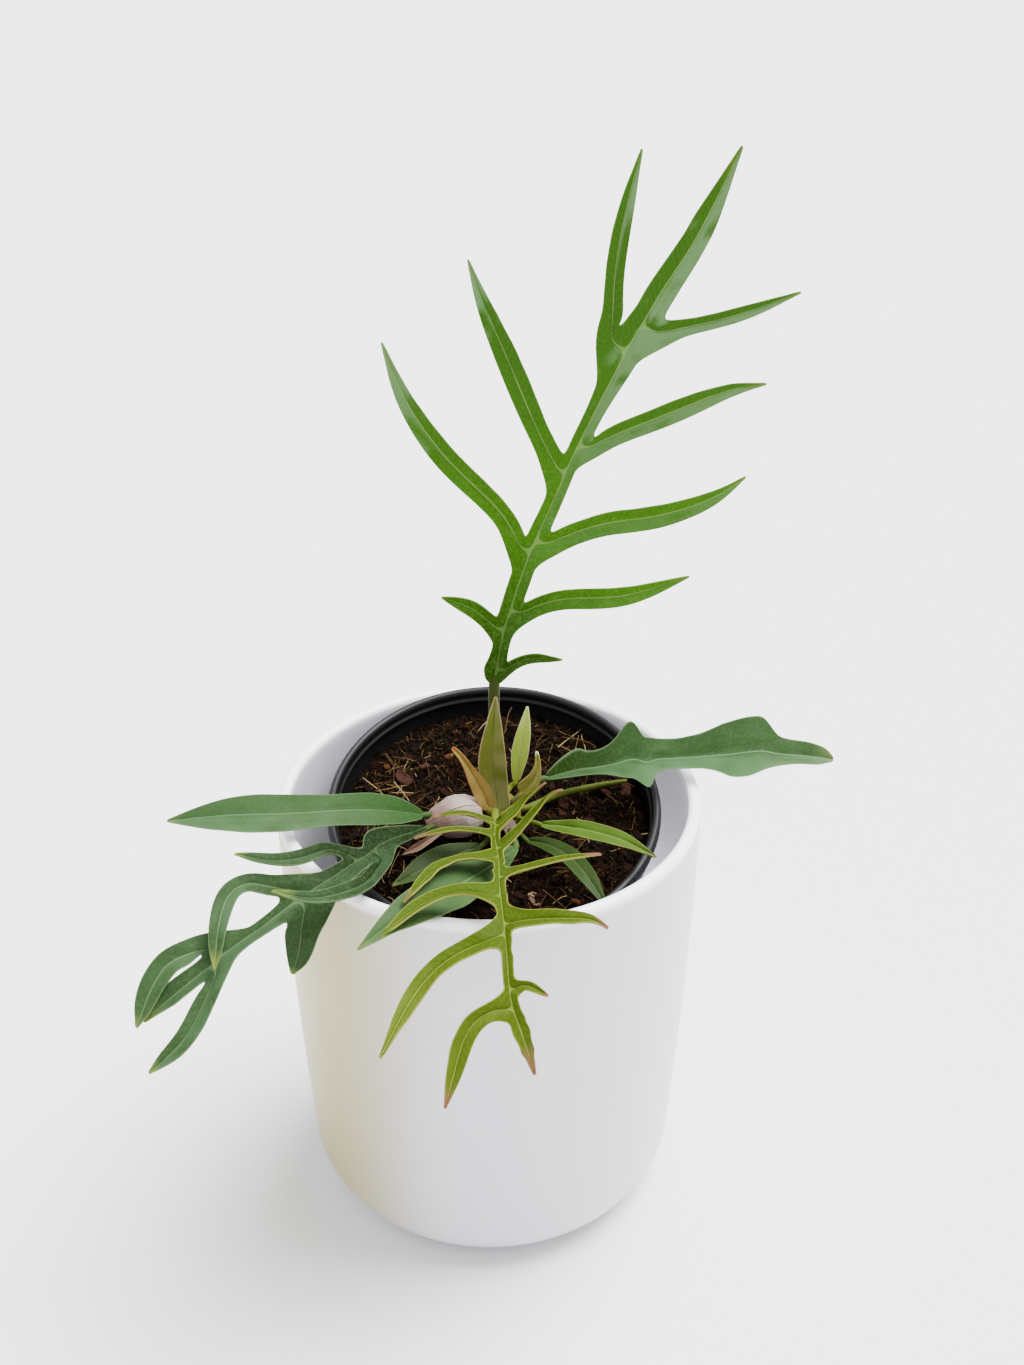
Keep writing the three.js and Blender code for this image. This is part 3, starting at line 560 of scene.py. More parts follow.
def scattered(name, model, count, seed, size, tilt, bend=0.0, clumps=()):
    """Copies of a model over the soil, in one mesh. Every second copy lies near a clump, if there
    are clumps. A clump is its x, its y and how far it spreads."""
    draw = np.random.default_rng(seed)
    base, base_faces = model
    verts, faces, shades = [], [], []
    for i in range(count):
        if clumps and i % 2:
            cx, cy, spread = clumps[(i // 2) % len(clumps)]
            x, y = cx + draw.normal(0, spread), cy + draw.normal(0, spread)
        else:
            r = math.sqrt(draw.uniform(0, 1)) * (SOIL_RADIUS - 1.5)
            a = draw.uniform(0, 2 * math.pi)
            x, y = r * math.cos(a), r * math.sin(a)
        sizes = size(draw)
        if math.hypot(x, y) + sizes.max() * 0.3 > SOIL_RADIUS - 0.6:
            continue
        shape = base * sizes
        if bend:
            t = shape[:, 2] / max(sizes[2], 0.01)
            shape[:, 0] += bend * sizes[2] * draw.uniform(-1, 1) * (t ** 2 - 0.25)
            shape[:, 1] += bend * sizes[2] * draw.uniform(-1, 1) * (t ** 3 - 0.25 * t)
        else:
            shape = shape * (1 + draw.uniform(-0.22, 0.22, shape.shape))
        pitch = draw.normal(0, tilt) + math.pi / 2 * bool(bend)
        shape = shape @ turn_matrix(draw.uniform(0, 2 * math.pi), pitch).T
        rise = 0.25 * np.ptp(shape[:, 2]) * draw.uniform(0.2, 1)
        shape += (x, y, SOIL_TOP + lumps(x, y) + rise)
        start = len(verts)
        verts.extend(shape * MM)
        faces.extend(tuple(start + k for k in face) for face in base_faces)
        shades.extend([draw.uniform()] * len(base))
    mesh = bpy.data.meshes.new(name)
    mesh.from_pydata([tuple(v) for v in verts], [], faces)
    mesh.attributes.new("shade", "FLOAT", "POINT").data.foreach_set("value", shades)
    mesh.transform(nursery_place)
    piece = bpy.data.objects.new(name, mesh)
    bpy.context.collection.objects.link(piece)
    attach(piece, "root")
    print(name, "faces:", len(mesh.polygons))
    return piece


# %% Crumbs, bark, fibres and moss
crumbs = scattered("soil_crumbs", crumb, count=3600, seed=3, tilt=0.5,
                   size=lump(0.5, 2.0, (0.6, 1), (0.5, 0.9)))
chips = scattered("bark_chips", chip, count=240, seed=5, tilt=0.35,
                  size=lump(1.6, 5.0, (0.35, 0.7), (0.18, 0.35)))
fibres = scattered("coir_fibres", fibre, count=4600, seed=11, tilt=0.3, bend=0.6,
                   size=thread((0.14, 0.34), (1.8, 8)))
long_fibres = scattered("pale_fibres", fibre, count=240, seed=17, tilt=0.25, bend=0.55,
                        size=thread((0.2, 0.42), (5, 16)),
                        clumps=((-40, 8, 6), (-36, -24, 6), (-34, 24, 7), (30, 26, 8)))
red_bark = scattered("red_bark", chip, count=16, seed=31, tilt=0.3,
                     size=lump(3.2, 6.2, (0.45, 0.8), (0.2, 0.4)),
                     clumps=((24, 5, 2), (44, 12, 2.5), (-30, 24, 6)))
moss = scattered("moss_threads", fibre, count=420, seed=23, tilt=0.6, bend=0.6,
                 size=thread((0.18, 0.4), (1.2, 4)),
                 clumps=((-24, 36, 5), (24, 24, 6), (16, -2, 4), (-46, -6, 4)))

# %% [markdown]
# ## Soil colours
# Wet peat is almost black, coir is red-brown and old fibres are straw. Each loose bit
# carries its own number, and its colour is read from that number.

# %% Soil colours
peat = Finish("dark peat", Roughness=0.95, Specular_IOR_Level=0.04)
damp = peat.cloud(55, 4)
crumbly = peat.cloud(700, 5)
rusty = peat.ramp(peat.cloud(260, 4), 0.5, 0.68)
wet = peat.mix(damp, tint("020100"), tint("090502"))
peat.surface(Base_Color=peat.mix(rusty * 0.75, wet, tint("1a0d06")))
peat.relief(crumbly, 0.7)
soil.data.materials.append(peat.material)
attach(soil, "root")
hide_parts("soil")
print("peat nodes:", len(peat.tree.nodes))


# %% Colours of the loose bits
def bits_finish(name, dark, light, odd, odd_share):
    """Loose bits from dark to light, with a share of them in an odd colour"""
    bits = Finish(name, Roughness=0.9, Specular_IOR_Level=0.06)
    shade = bits.fact("shade")
    mottle = bits.cloud(900, 3)
    body = bits.mix(shade * 0.8 + mottle * 0.3, tint(dark), tint(light))
    is_odd = bits.ramp(shade, 1 - odd_share, 1.02 - odd_share)
    bits.surface(Base_Color=bits.mix(is_odd, body, tint(odd)))
    bits.relief(bits.cloud(1500, 2), 0.15)
    return bits.material


crumbs.data.materials.append(bits_finish("peat crumbs", "020100", "120904", "2c1a0c", 0.05))
chips.data.materials.append(bits_finish("bark", "060301", "1d0e07", "38200f", 0.05))
red_bark.data.materials.append(bits_finish("red bark", "180c06", "37211a", "584236", 0.3))
fibres.data.materials.append(bits_finish("coir", "070301", "27150a", "55401f", 0.1))
moss.data.materials.append(bits_finish("moss", "14150a", "34361a", "4e5028", 0.12))
long_fibres.data.materials.append(bits_finish("straw", "2a1b0d", "5c4a2c", "85724c", 0.2))
print("kinds of loose bits:", len((crumbs, chips, red_bark, fibres, moss, long_fibres)))

# %% [markdown]
# ## Leaves
# Every leaf here is a thin blade with a winged midrib, and narrow lobes that grow from the
# wing. It is modelled as a paper leaf would be cut: a strip of faces is extruded along the
# midrib, and each lobe is extruded from the edges at its root, row by row. An image on a
# flat card would be quicker, but it has no thickness and shows its trick from the side.
# Each vertex also keeps four facts for the colours: how far it is from the nearest vein
# and from the margin, how far along the leaf it is, and how near a tip.

# %% Leaf measures, in millimetres
# A leaf is its stalk and midrib as points, and the half width of its wing at distances along
# the midrib. Optional are its cupping (vee), its waves, the teeth of its margin (ragged), the
# longest step between rows (widest), and whether its lobes end blunt.
# A lobe is its side, its place on the midrib, the length of its root, its width, and its
# path: how far out, along and up from that place
LEFT, RIGHT = 1, -1
LEAVES = {
    "tall_leaf": {
        "stalk": [[2, 7, 153], [2, 8, 160], [2, 13, 180], [2, 17, 195]],
        "stalk_radius": 2,
        "midrib": [[2, 18, 198], [6, 20, 219], [14, 24, 244], [23, 27, 265], [31, 29, 284],
            [44, 34, 309], [56, 38, 330], [67, 41, 347], [80, 45, 374]],
        "left": [[0, 2], [2.5, 4.4], [6, 4.8], [9, 3.2], [14, 2.8], [22, 3.6], [40, 3.6], [60, 3.2],
            [84, 2.7], [104, 3], [112, 4], [121, 5.4], [129, 5.8], [138, 4.8], [150, 4.8], [172, 4],
            [196, 0.4]],
        "right": [[0, 1.8], [2.5, 3.6], [6, 3.4], [10, 2.8], [22, 3.2], [40, 3.6], [60, 3.2], [84, 2.7],
            [104, 3.2], [120, 4.6], [145, 4.8], [172, 3.8], [196, 0.4]],
        "facing": [0, -0.98, 0.17],
        "lobes": [
            (RIGHT, 6, 7, 4, [[6, 3, 0], [12, 6, 0], [22, 7, 1]]),
            (LEFT, 21, 9, 6.2, [[8, 3, 1], [15, 6, 2], [24, 7, 3]]),
            (RIGHT, 28, 10, 7.6, [[15, 9, 2], [35, 17, 5], [54, 30, 6]]),
            (LEFT, 50, 13, 8.2, [[15, 10, 2], [39, 22, 6], [57, 35, 6], [70, 49, 2]]),
            (RIGHT, 54, 13, 8.4, [[18, 14, 2], [34, 25, 6], [47, 37, 8], [55, 48, 6]]),
            (LEFT, 80, 14, 8, [[14, 10, 2], [33, 30, 6], [46, 43, 6], [55, 53, 3]]),
            (RIGHT, 90, 12, 7.4, [[10, 9, 2], [22, 23, 6], [35, 37, 7], [46, 44, 5]]),
            (LEFT, 124, 18, 6.2, [[8.4, 5, 1], [17, 22, 4], [23, 39.5, 6], [27, 56, 5]]),
            (RIGHT, 133, 16, 5, [[15, 9, 2], [26, 20, 5], [38, 34, 6]]),
        ],
    },
    "young_leaf": {
        "stalk": [[2, 2, 156], [2, -4, 158.5], [2, -8, 159.5]],
        "stalk_radius": 1.5,
        "midrib": [[2, -10, 160], [2, -26, 163], [3, -43, 167], [3, -62, 172], [4, -80, 173], [5, -94, 169],
            [6, -104, 161], [10, -110, 150], [13, -111, 138]],
        "wing": [1.6, 1.7, 1.8, 1.8, 2, 1.8, 1.7, 2.7, 0.4],
        "facing": [0, -0.7, 0.7],
        "ragged": 0.9, "widest": 2.2, "wave": 0.7, "vee": 0.32,
        "lobes": [
            (RIGHT, 3, 5, 3.4, [[7, -1, 2], [13, 1, 4], [21, 4, 4]]),
            (LEFT, 6, 9, 4.8, [[10, -7, 6], [17, -6, 14]]),
            (RIGHT, 13, 6, 3.8, [[8, 0, 2], [17, 4, 4], [27, 9, 4]]),
            (LEFT, 24, 9, 4.6, [[10, -4, 5], [18, -6, 12], [22, -4, 16.5], [24, -3, 16.5]]),
            (RIGHT, 32, 11, 5.4, [[11, 3, 2], [20, 11, 3], [31, 30, 1]]),
            (LEFT, 48, 11, 4.4, [[9, 1, 3], [19, 1, 6], [32, 3, 9]]),
            (RIGHT, 61, 13, 6.2, [[9, -2, 2], [18, -1, 2], [27, 4, 1], [37, 15, 0]]),
            (LEFT, 74, 12, 5.8, [[9, 1, 2], [20, 3, 3], [28, 5, 3.5], [31, 7, 1.5]]),
            (RIGHT, 79, 13, 6.4, [[10, 3, 1], [20, 8, 0], [29, 18, -1], [39, 36, -2]]),
            (LEFT, 96, 6, 3, [[5, -1, 1], [11, 3, 2]]),
            (RIGHT, 101, 9, 6.4, [[8, -1, 1], [15, 3, 1], [19, 9, 0], [27, 23, -2]]),
        ],
    },
    "left_lobed_leaf": {
        "stalk": [[-1, -1, 153], [-9, -5, 155], [-17.5, -8.8, 157]],
        "stalk_radius": 1.4,
        "midrib": [[-22, -12.5, 158.5], [-26, -21, 162.5], [-34, -31, 166], [-44, -44, 167.5],
            [-54, -57, 168.5], [-63, -64, 166], [-70, -70, 163.5], [-79, -77, 160.5], [-86, -83, 157.5],
            [-93, -88, 154], [-106, -94, 145.5]],
        "right": [[0, 1.2], [10, 3], [19, 5], [27, 6.8], [31, 5.4], [33.5, 1.6], [41, 2.6], [50, 3.2],
            [58, 4], [73, 2.4], [82, 2.2], [92, 4], [102, 4], [112, 4.6], [118, 3.4], [126, 0.4]],
        "left": [[0, 1.2], [16, 2.7], [28, 3.9], [39, 4.5], [50, 5.6], [60, 4.4], [74, 3.4], [84, 2.6],
            [93, 3], [104, 2.2], [114, 2.4], [126, 0.4]],
        "facing": [0, -0.5, 0.87],
        "blunt": True,
        "lobes": [
            (RIGHT, 39.5, 8, 5.6, [[6, 2, 1], [9, 6, 2], [10, 14.5, 2], [15, 24.5, 2], [24, 32.5, 2]]),
            (LEFT, 31, 13, 5.6, [[8, 8, 3], [11, 20, 6], [7, 38, 8], [-3, 47, 8]]),
            (RIGHT, 64, 15, 6.4, [[7, 5, 2], [13, 11, 4], [12, 19, 6], [3, 28, 8], [-6, 35, 6]]),
            (LEFT, 65, 22, 7.6, [[5, 2, -2], [9.5, 6, -6], [12.5, 10, -11], [14, 13.5, -14.5]]),
            (RIGHT, 94, 15, 8, [[7, 6, 1], [10, 13, 1], [8, 22, -1], [2, 33, -4]]),
            (LEFT, 99, 11, 6.4, [[7, 8, -1], [12, 20, -2], [12, 34, -4]]),
        ],
    },
    "right_lobed_leaf": {
        "stalk": [[6, 5, 154], [12, 9, 157.5], [18, 11.6, 161.4]],
        "stalk_radius": 1.3,
        "midrib": [[20, 12, 162], [40, 12, 166], [57, 10, 170], [71, 8, 172], [81, 6, 174], [95, 5, 176],
            [120, 1, 176]],
        "left": [[0, 1.2], [5, 5.1], [10, 8.1], [14, 9.2], [16, 6.5], [22, 6.7], [26.5, 9.4], [30, 14.6],
            [32.5, 16.4], [34.5, 14], [36.2, 8.8], [38.4, 8.8], [43, 7.9], [48, 8], [56, 9.2], [64.5, 12],
            [72, 13.4], [76.7, 14.4], [78.6, 13.6], [79.8, 8.4], [84.6, 6.1], [93, 5.7], [99, 4.2],
            [103, 0.4]],
        "right": [[0, 1], [9, 1.7], [15.7, 1.9], [21.5, 2.6], [27, 5], [32.4, 6.3], [36.5, 10.6],
            [38.4, 12], [40, 5], [42, 3.9], [46, 3.8], [56, 3.9], [62, 5.6], [66, 8.4], [71, 9.4],
            [76, 7.8], [82, 4.8], [90, 2.9], [97, 2.9], [103, 0.4]],
        "facing": [0, -0.5, 0.87],
        "lobes": [],
    },
}
print("lobes:", {name: len(measures["lobes"]) for name, measures in LEAVES.items()})

# %% Measures of the plain leaves and scales
# Their half widths are given at even steps along the midrib instead, and they have no lobes
LANCES = {
    "left_lance_leaf": {
        "facing": [0, -0.6, 0.8], "stalk_radius": 1.2,
        "stalk": [[-2, 4, 157], [-10, -1, 158.5], [-20, -7, 160]],
        "midrib": [[-23, -8.5, 161], [-34, -13, 166], [-47, -18, 170], [-67, -24, 173], [-86, -26, 174],
            [-108, -24, 170.5]],
        "wing": [1.6, 5, 5.9, 5.5, 5.8, 6.5, 6.7, 5.6, 3.4, 0.4],
    },
    "front_lance_leaf": {
        "facing": [0, -0.5, 0.87], "stalk_radius": 1.2,
        "stalk": [[4.8, -0.5, 154.8], [7, -12, 156], [9, -21, 156.5]],
        "midrib": [[9, -22, 156.5], [2, -34, 159], [-13, -57, 165.5], [-27, -74, 169.5], [-40, -88, 168]],
        "wing": [1.4, 6, 8, 5.6, 0.4],
    },
    "back_short_leaf": {
        "facing": [0, -0.5, 0.87], "stalk_radius": 1,
        "stalk": [[2, -1, 152.2], [1, -8, 152.6], [-2, -15, 153]],
        "midrib": [[-3, -16, 153], [-12, -24, 155], [-20, -32, 156.8], [-32, -44, 157.8]],
        "wing": [1.2, 5, 4.6, 0.4],
    },
    "right_lance_leaf_upper": {
        "facing": [0, -0.5, 0.87], "stalk_radius": 0.9,
        "stalk": [[6, 3, 153], [11, -3, 155], [17, -9, 157]],
        "midrib": [[18, -10, 157.5], [31, -17, 160.5], [44, -26, 162.5], [55, -38, 164]],
        "wing": [1.2, 3.4, 3, 0.4],
    },
    "right_lance_leaf_lower": {
        "facing": [0, -0.5, 0.87], "stalk_radius": 0.9,
        "stalk": [[6.5, -1, 151.8], [10, -8, 152.8], [12.6, -15, 154.6]],
        "midrib": [[13, -16, 155], [20, -21, 157], [27, -31, 159], [32, -42, 159.5], [38, -53, 155]],
        "wing": [1.2, 3, 3.4, 3, 0.4],
    },
    "small_upright_leaf": {
        "facing": [0, -1, 0.1], "stalk_radius": 0.9,
        "stalk": [[6, 9.5, 157], [8, 11, 159.5], [9.3, 10.8, 161]],
        "midrib": [[9.6, 10.5, 162], [11, 11, 174], [12.5, 10.5, 184], [13.5, 10, 193]],
        "wing": [1.4, 3.2, 2.6, 0.4],
    },
    "olive_sheath_leaf": {
        "facing": [0.1, -1, 0.1], "stalk_radius": 1.6, "vee": 0.3, "wave": 0.5,
        "stalk": [[3, 3, 152], [3, -1, 155], [2.9, -1.6, 157]],
        "midrib": [[2.8, -1.8, 158], [2, 1, 166], [1, 2, 176], [1.5, 3, 188], [2.5, 3.5, 201]],
        "wing": [4.6, 4.4, 4.8, 4.9, 4.2, 3.2, 1.9, 0.4],
    },
    "brown_sheath_leaf": {
        "facing": [0.2, -1, 0.2], "stalk_radius": 1.7,
        "stalk": [[1.4, 0.8, 155], [0.6, -2, 157], [0.2, -3, 158.5]],
        "midrib": [[0, -3.4, 159.5], [-2.6, -2, 166.5], [-6, -1.5, 173], [-9, -0.5, 179], [-12.5, 0, 183]],
        "wing": [2.4, 3.2, 3.1, 2.4, 1.5, 1.1, 0.9],
    },
    "right_sheath_leaf": {
        "facing": [0, -1, 0.2], "stalk_radius": 1,
        "stalk": [[6, 2, 157], [8.5, 0, 160.5], [11, -0.5, 163.5]],
        "midrib": [[11.5, -0.5, 164.5], [15, -0.5, 169], [17, -0.5, 175], [16.5, 0, 181]],
        "wing": [3, 3.4, 2.6, 1.4, 0.9, 0.5],
    },
}
print("plain leaves and scales:", len(LANCES))

# %% [markdown]
# ## From measures to a blade
# First come the steps of the hand: start a strip, extrude a row, put its vertices in their
# places. Then come the measures of one leaf, and then the growing itself. The measures are
# kept apart from the steps, so that every leaf is grown by the same few lines.

# %% Grow a sheet row by row
FACTS = ("vein_mm", "edge_mm", "along_mm", "tip")


def set_row(cage, row, places, facts):
    """Puts a row of vertices in its places and writes their facts"""
    for index, place, values in zip(row, places, facts):
        vertex = cage.verts[index]
        vertex.co = Vector(place) * MM
        for name, value in zip(FACTS, values):
            vertex[cage.verts.layers.float[name]] = value


def start_sheet(name, rows, facts):
    """A strip of two faces between the first two rows of three vertices"""
    bpy.ops.mesh.primitive_grid_add(x_subdivisions=2, y_subdivisions=1, size=MM)
    sheet = bpy.context.active_object
    sheet.name = name
    bpy.ops.object.mode_set(mode="EDIT")
    bpy.ops.mesh.select_mode(type="EDGE")
    cage = bmesh.from_edit_mesh(sheet.data)
    for fact in FACTS:
        cage.verts.layers.float.new(fact)
    cage.verts.ensure_lookup_table()
    set_row(cage, (0, 1, 2), rows[0], facts[0])
    set_row(cage, (3, 4, 5), rows[1], facts[1])
    return sheet


def extend(sheet, row, places, facts):
    """Extrudes the edges along a row of vertices, and puts the new row in its places"""
    cage = bmesh.from_edit_mesh(sheet.data)
    cage.verts.ensure_lookup_table()
    bpy.ops.mesh.select_all(action="DESELECT")
    for a, b in zip(row, row[1:]):
        cage.edges.get((cage.verts[a], cage.verts[b])).select_set(True)
    bpy.ops.mesh.extrude_region_move()
    cage = bmesh.from_edit_mesh(sheet.data)
    cage.verts.index_update()
    cage.verts.ensure_lookup_table()
    fresh = []
    for index in row:
        old = cage.verts[index]
        fresh.append(next(e.other_vert(old).index for e in old.link_edges if e.other_vert(old).select))
    set_row(cage, fresh, places, facts)
    return fresh


print("facts at every vertex:", FACTS)

# %% The shape of one leaf
# How much of a lobe's root lies behind its place on the midrib, and how much ahead of it
ROOT_BEHIND = 0.6
ROOT_AHEAD = 0.4


def lobe_half_width(t, blunt):
    """How a narrow lobe widens and comes to its tip, from its root (0) to the tip (1)"""
    if blunt:
        return (0.8 + 0.25 * math.sin(math.pi * t)) * max(1 - t ** 6, 0) ** 0.5
    return (0.8 + 0.22 * math.sin(math.pi * t ** 1.2)) * max(1 - t ** 4, 0) ** 0.85


class Leaf:
    """The measures of a leaf, and any place on it"""

    def __init__(self, measures):
        self.route = Route(measures["midrib"])
        self.length = self.route.length
        self.facing = unit(np.array(measures["facing"], float))
        self.vee = measures.get("vee", 0.16)
        self.lobes = measures.get("lobes", [])
        even = measures.get("wing", [1, 1])
        even = list(zip(np.linspace(0, self.length, len(even)), even))
        self.edges = {LEFT: measures.get("left", even), RIGHT: measures.get("right", even)}
        self.ragged = measures.get("ragged", 0)
        self.blunt = measures.get("blunt", False)

    def wing(self, s, side):
        at, width = zip(*self.edges[side])
        tooth = self.ragged * noise.noise(Vector((s / 2.2, side * 5, 0)))
        return float(np.interp(s, at, width)) + tooth * min(1, s / 5, (self.length - s) / 5)

    def frame(self, s):
        """The middle, the way ahead, up, and the way across to the left"""
        ahead = self.route.heading(s)
        up = unit(self.facing - ahead * self.facing.dot(ahead))
        return self.route.at(s), ahead, up, np.cross(up, ahead)

    def clear_of_wing(self, place, side):
        """Moves a lobe's vertex outwards where it would lie on the wing beside it"""
        gaps = np.linalg.norm(self.route.points - place, axis=1)
        s = self.route.reach[gaps.argmin()]
        middle, ahead, up, across = self.frame(s)
        offset = place - middle
        short = self.wing(s, side) + 1 - side * offset.dot(across)
        if short > 0 and abs(offset.dot(up)) < 2:
            place = place + across * side * short
        return place


def stations_of(leaf, widest):
    """Where the rows across the midrib lie"""
    wanted = [0, leaf.length]
    for side, at, root, width, path in leaf.lobes:
        wanted += [at - root * ROOT_BEHIND, at, at + root * ROOT_AHEAD]
    for edge in leaf.edges.values():
        wanted += [s for s, width in edge]
    stations = [0.0]
    for s in sorted(w for w in wanted if 0 < w <= leaf.length):
        last = stations[-1]
        pieces = math.ceil((s - last) / widest)
        stations += [last + (s - last) * k / pieces for k in range(1, pieces)]
        if s - stations[-1] > 1.3:
            stations.append(s)
    stations[-1] = leaf.length
    return stations


print("rows across the tall leaf:", len(stations_of(Leaf(LEAVES["tall_leaf"]), 6)))

# %% Grow one leaf
LOBE_ROW = 5
LEAST_HALF_WIDTH = 0.3
# The shares of a leaf and of a lobe at which their tips begin
TIP = 0.85
LOBE_TIP = 0.7


def tipward(t, start):
    """0 up to where a tip begins, and 1 at its end"""
    return max(0, (t - start) / (1 - start))


def grow(name, leaf, widest):
    """The sheet of a leaf, with its lobes, smoothed by subdivision"""
    stations = stations_of(leaf, widest)
    places, facts = [], []
    for s in stations:
        middle, ahead, up, across = leaf.frame(s)
        left, right = leaf.wing(s, LEFT), leaf.wing(s, RIGHT)
        places.append([middle + across * left + up * left * leaf.vee, middle,
                       middle - across * right + up * right * leaf.vee])
        tip = tipward(s / leaf.length, TIP)
        facts.append([(left, 0, s, tip), (0, min(left, right), s, tip), (right, 0, s, tip)])
    sheet = start_sheet(name, places, facts)
    rows = [(0, 1, 2), (3, 4, 5)]
    for row, fact in zip(places[2:], facts[2:]):
        rows.append(extend(sheet, rows[-1], row, fact))

    stations = np.array(stations)
    for side, at, root, width, path in leaf.lobes:
        middle, ahead, up, across = leaf.frame(at)
        spots = [middle + across * side * leaf.wing(at, side)]
        spots += [middle + across * side * p[0] + ahead * p[1] + up * p[2] for p in path]
        lobe = Route(spots)
        first = int(np.abs(stations - (at - root * ROOT_BEHIND)).argmin())
        centre = int(np.abs(stations - at).argmin())
        last = min(int(np.abs(stations - (at + root * ROOT_AHEAD)).argmin()), len(stations) - 2)
        column = 0 if side == LEFT else 2
        row = [rows[k][column] for k in range(first, last + 1)]
        spread = [(centre - k) / max(centre - first, 1) if k <= centre else -(k - centre) / (last - centre)
                  for k in range(first, last + 1)]
        cage = bmesh.from_edit_mesh(sheet.data)
        cage.verts.ensure_lookup_table()
        set_row(cage, [rows[centre][column]], [spots[0]], [(0, width / 2, at, 0)])
        to_edge = cage.verts.layers.float["edge_mm"]
        for index, u in zip(row[1:-1], spread[1:-1]):
            cage.verts[index][to_edge] = (1 - abs(u)) * width / 2
        count = int(np.clip(round(lobe.length / LOBE_ROW), 5, 14))
        start = min(0.16, 2.5 / lobe.length)
        for t in np.linspace(start, 1, count) ** 0.95:
            s = t * lobe.length
            heading = lobe.heading(s)
            lifted = unit(up - heading * up.dot(heading))
            to_base = np.cross(lifted, heading) * side
            half = max(width / 2 * lobe_half_width(t, leaf.blunt), LEAST_HALF_WIDTH)
            half += max(root / 2 - half, 0) * math.exp(-s / (root / 4))
            new, news = [], []
            for u in spread:
                spot = lobe.at(s) + to_base * u * half + lifted * abs(u) * half * leaf.vee
                new.append(leaf.clear_of_wing(spot, side))
                news.append((abs(u) * half, (1 - abs(u)) * half, at + s, tipward(t, LOBE_TIP)))
            row = extend(sheet, row, new, news)
    bpy.ops.object.mode_set(mode="OBJECT")
    modify(sheet, "SUBSURF", levels=2, render_levels=2)
    return sheet


print("a leaf's tip begins at", TIP, "of its length, a lobe's at", LOBE_TIP)

# %% [markdown]
# ## Veins, stalks and thickness
# The grown sheet is still flat across its lobes and has no thickness. Its veins are pressed
# in and its margins waved by moving points, because a bump in the finish alone would leave
# the outline straight. The stalk is a curve with a round section, and it runs on under the
# midrib as the real one does.

# %% Press in the veins
def column(mesh, name):
    values = np.empty(len(mesh.vertices))
    mesh.attributes[name].data.foreach_get("value", values)
    return values


# The way to the sky leans a little to the left. Blade faces turned towards it get a painted sheen, a
# painted reflection of the sky
SKY = unit(np.array((-0.25, 0, 0.97)))


def press_veins(sheet, facing, groove, wave, seed):
    """Sinks the veins into the blade and lets its margins wave, both in millimetres.
    Then notes how much more than the whole leaf each place faces the sky."""
    mesh = sheet.data
    co = np.empty(len(mesh.vertices) * 3)
    normals = co.copy()
    mesh.vertices.foreach_get("co", co)
    mesh.vertices.foreach_get("normal", normals)
    co, normals = co.reshape(-1, 3), normals.reshape(-1, 3)
    vein, edge = column(mesh, "vein_mm"), column(mesh, "edge_mm")
    ripple = np.array([noise.noise(Vector(p) / (7 * MM) + Vector((seed, 0, 0))) for p in co])
    lift = wave * ripple * np.clip(vein / 2.5, 0, 1) - groove * np.exp(-(vein / 0.45) ** 2)
    mesh.vertices.foreach_set("co", (co + normals * lift[:, None] * MM).ravel())
    mesh.update()
    mesh.vertices.foreach_get("normal", normals := normals.ravel())
    # How much more each place faces the sky, for the painted sheen of the finishes
    skyward = normals.reshape(-1, 3) @ SKY - facing.dot(SKY)
    mesh.attributes.new("sky", "FLOAT", "POINT").data.foreach_set("value", skyward)


print("the way to the sky:", SKY.round(2))


# %% Stalks and thickness
RINGS_PER_POINT = 5


def stalk(name, points, radii):
    """A round stalk along points, in millimetres: a curve with a round section, made a mesh"""
    route = Route(points)
    reach = np.linspace(0, 1, len(points) * RINGS_PER_POINT)
    bpy.ops.curve.primitive_bezier_curve_add()
    tube = bpy.context.active_object
    tube.name = name
    tube.data.splines.clear()
    spline = tube.data.splines.new("POLY")
    spline.points.add(len(reach) - 1)
    knots = [route.reach[np.abs(route.points - np.array(p)).sum(1).argmin()] for p in points]
    for point, t in zip(spline.points, reach):
        s = t * route.length
        point.co = (*(route.at(s) * MM), 1)
        point.radius = float(np.interp(s, knots, radii))
    tube.data.bevel_depth = MM
    tube.data.bevel_resolution = 4
    tube.data.use_fill_caps = True
    bpy.ops.object.convert(target="MESH")
    bpy.ops.object.shade_smooth()
    return bpy.context.active_object


def thicken(sheet, thickness):
    """Gives the sheet its thickness, half to each side, with its own finish underneath"""
    modify(sheet, "SOLIDIFY", thickness=thickness * MM, offset=0, material_offset=1)
    bpy.ops.object.shade_smooth_by_angle(angle=math.radians(50))


print("rings of the tall leaf's stalk:", len(LEAVES["tall_leaf"]["stalk"]) * RINGS_PER_POINT)
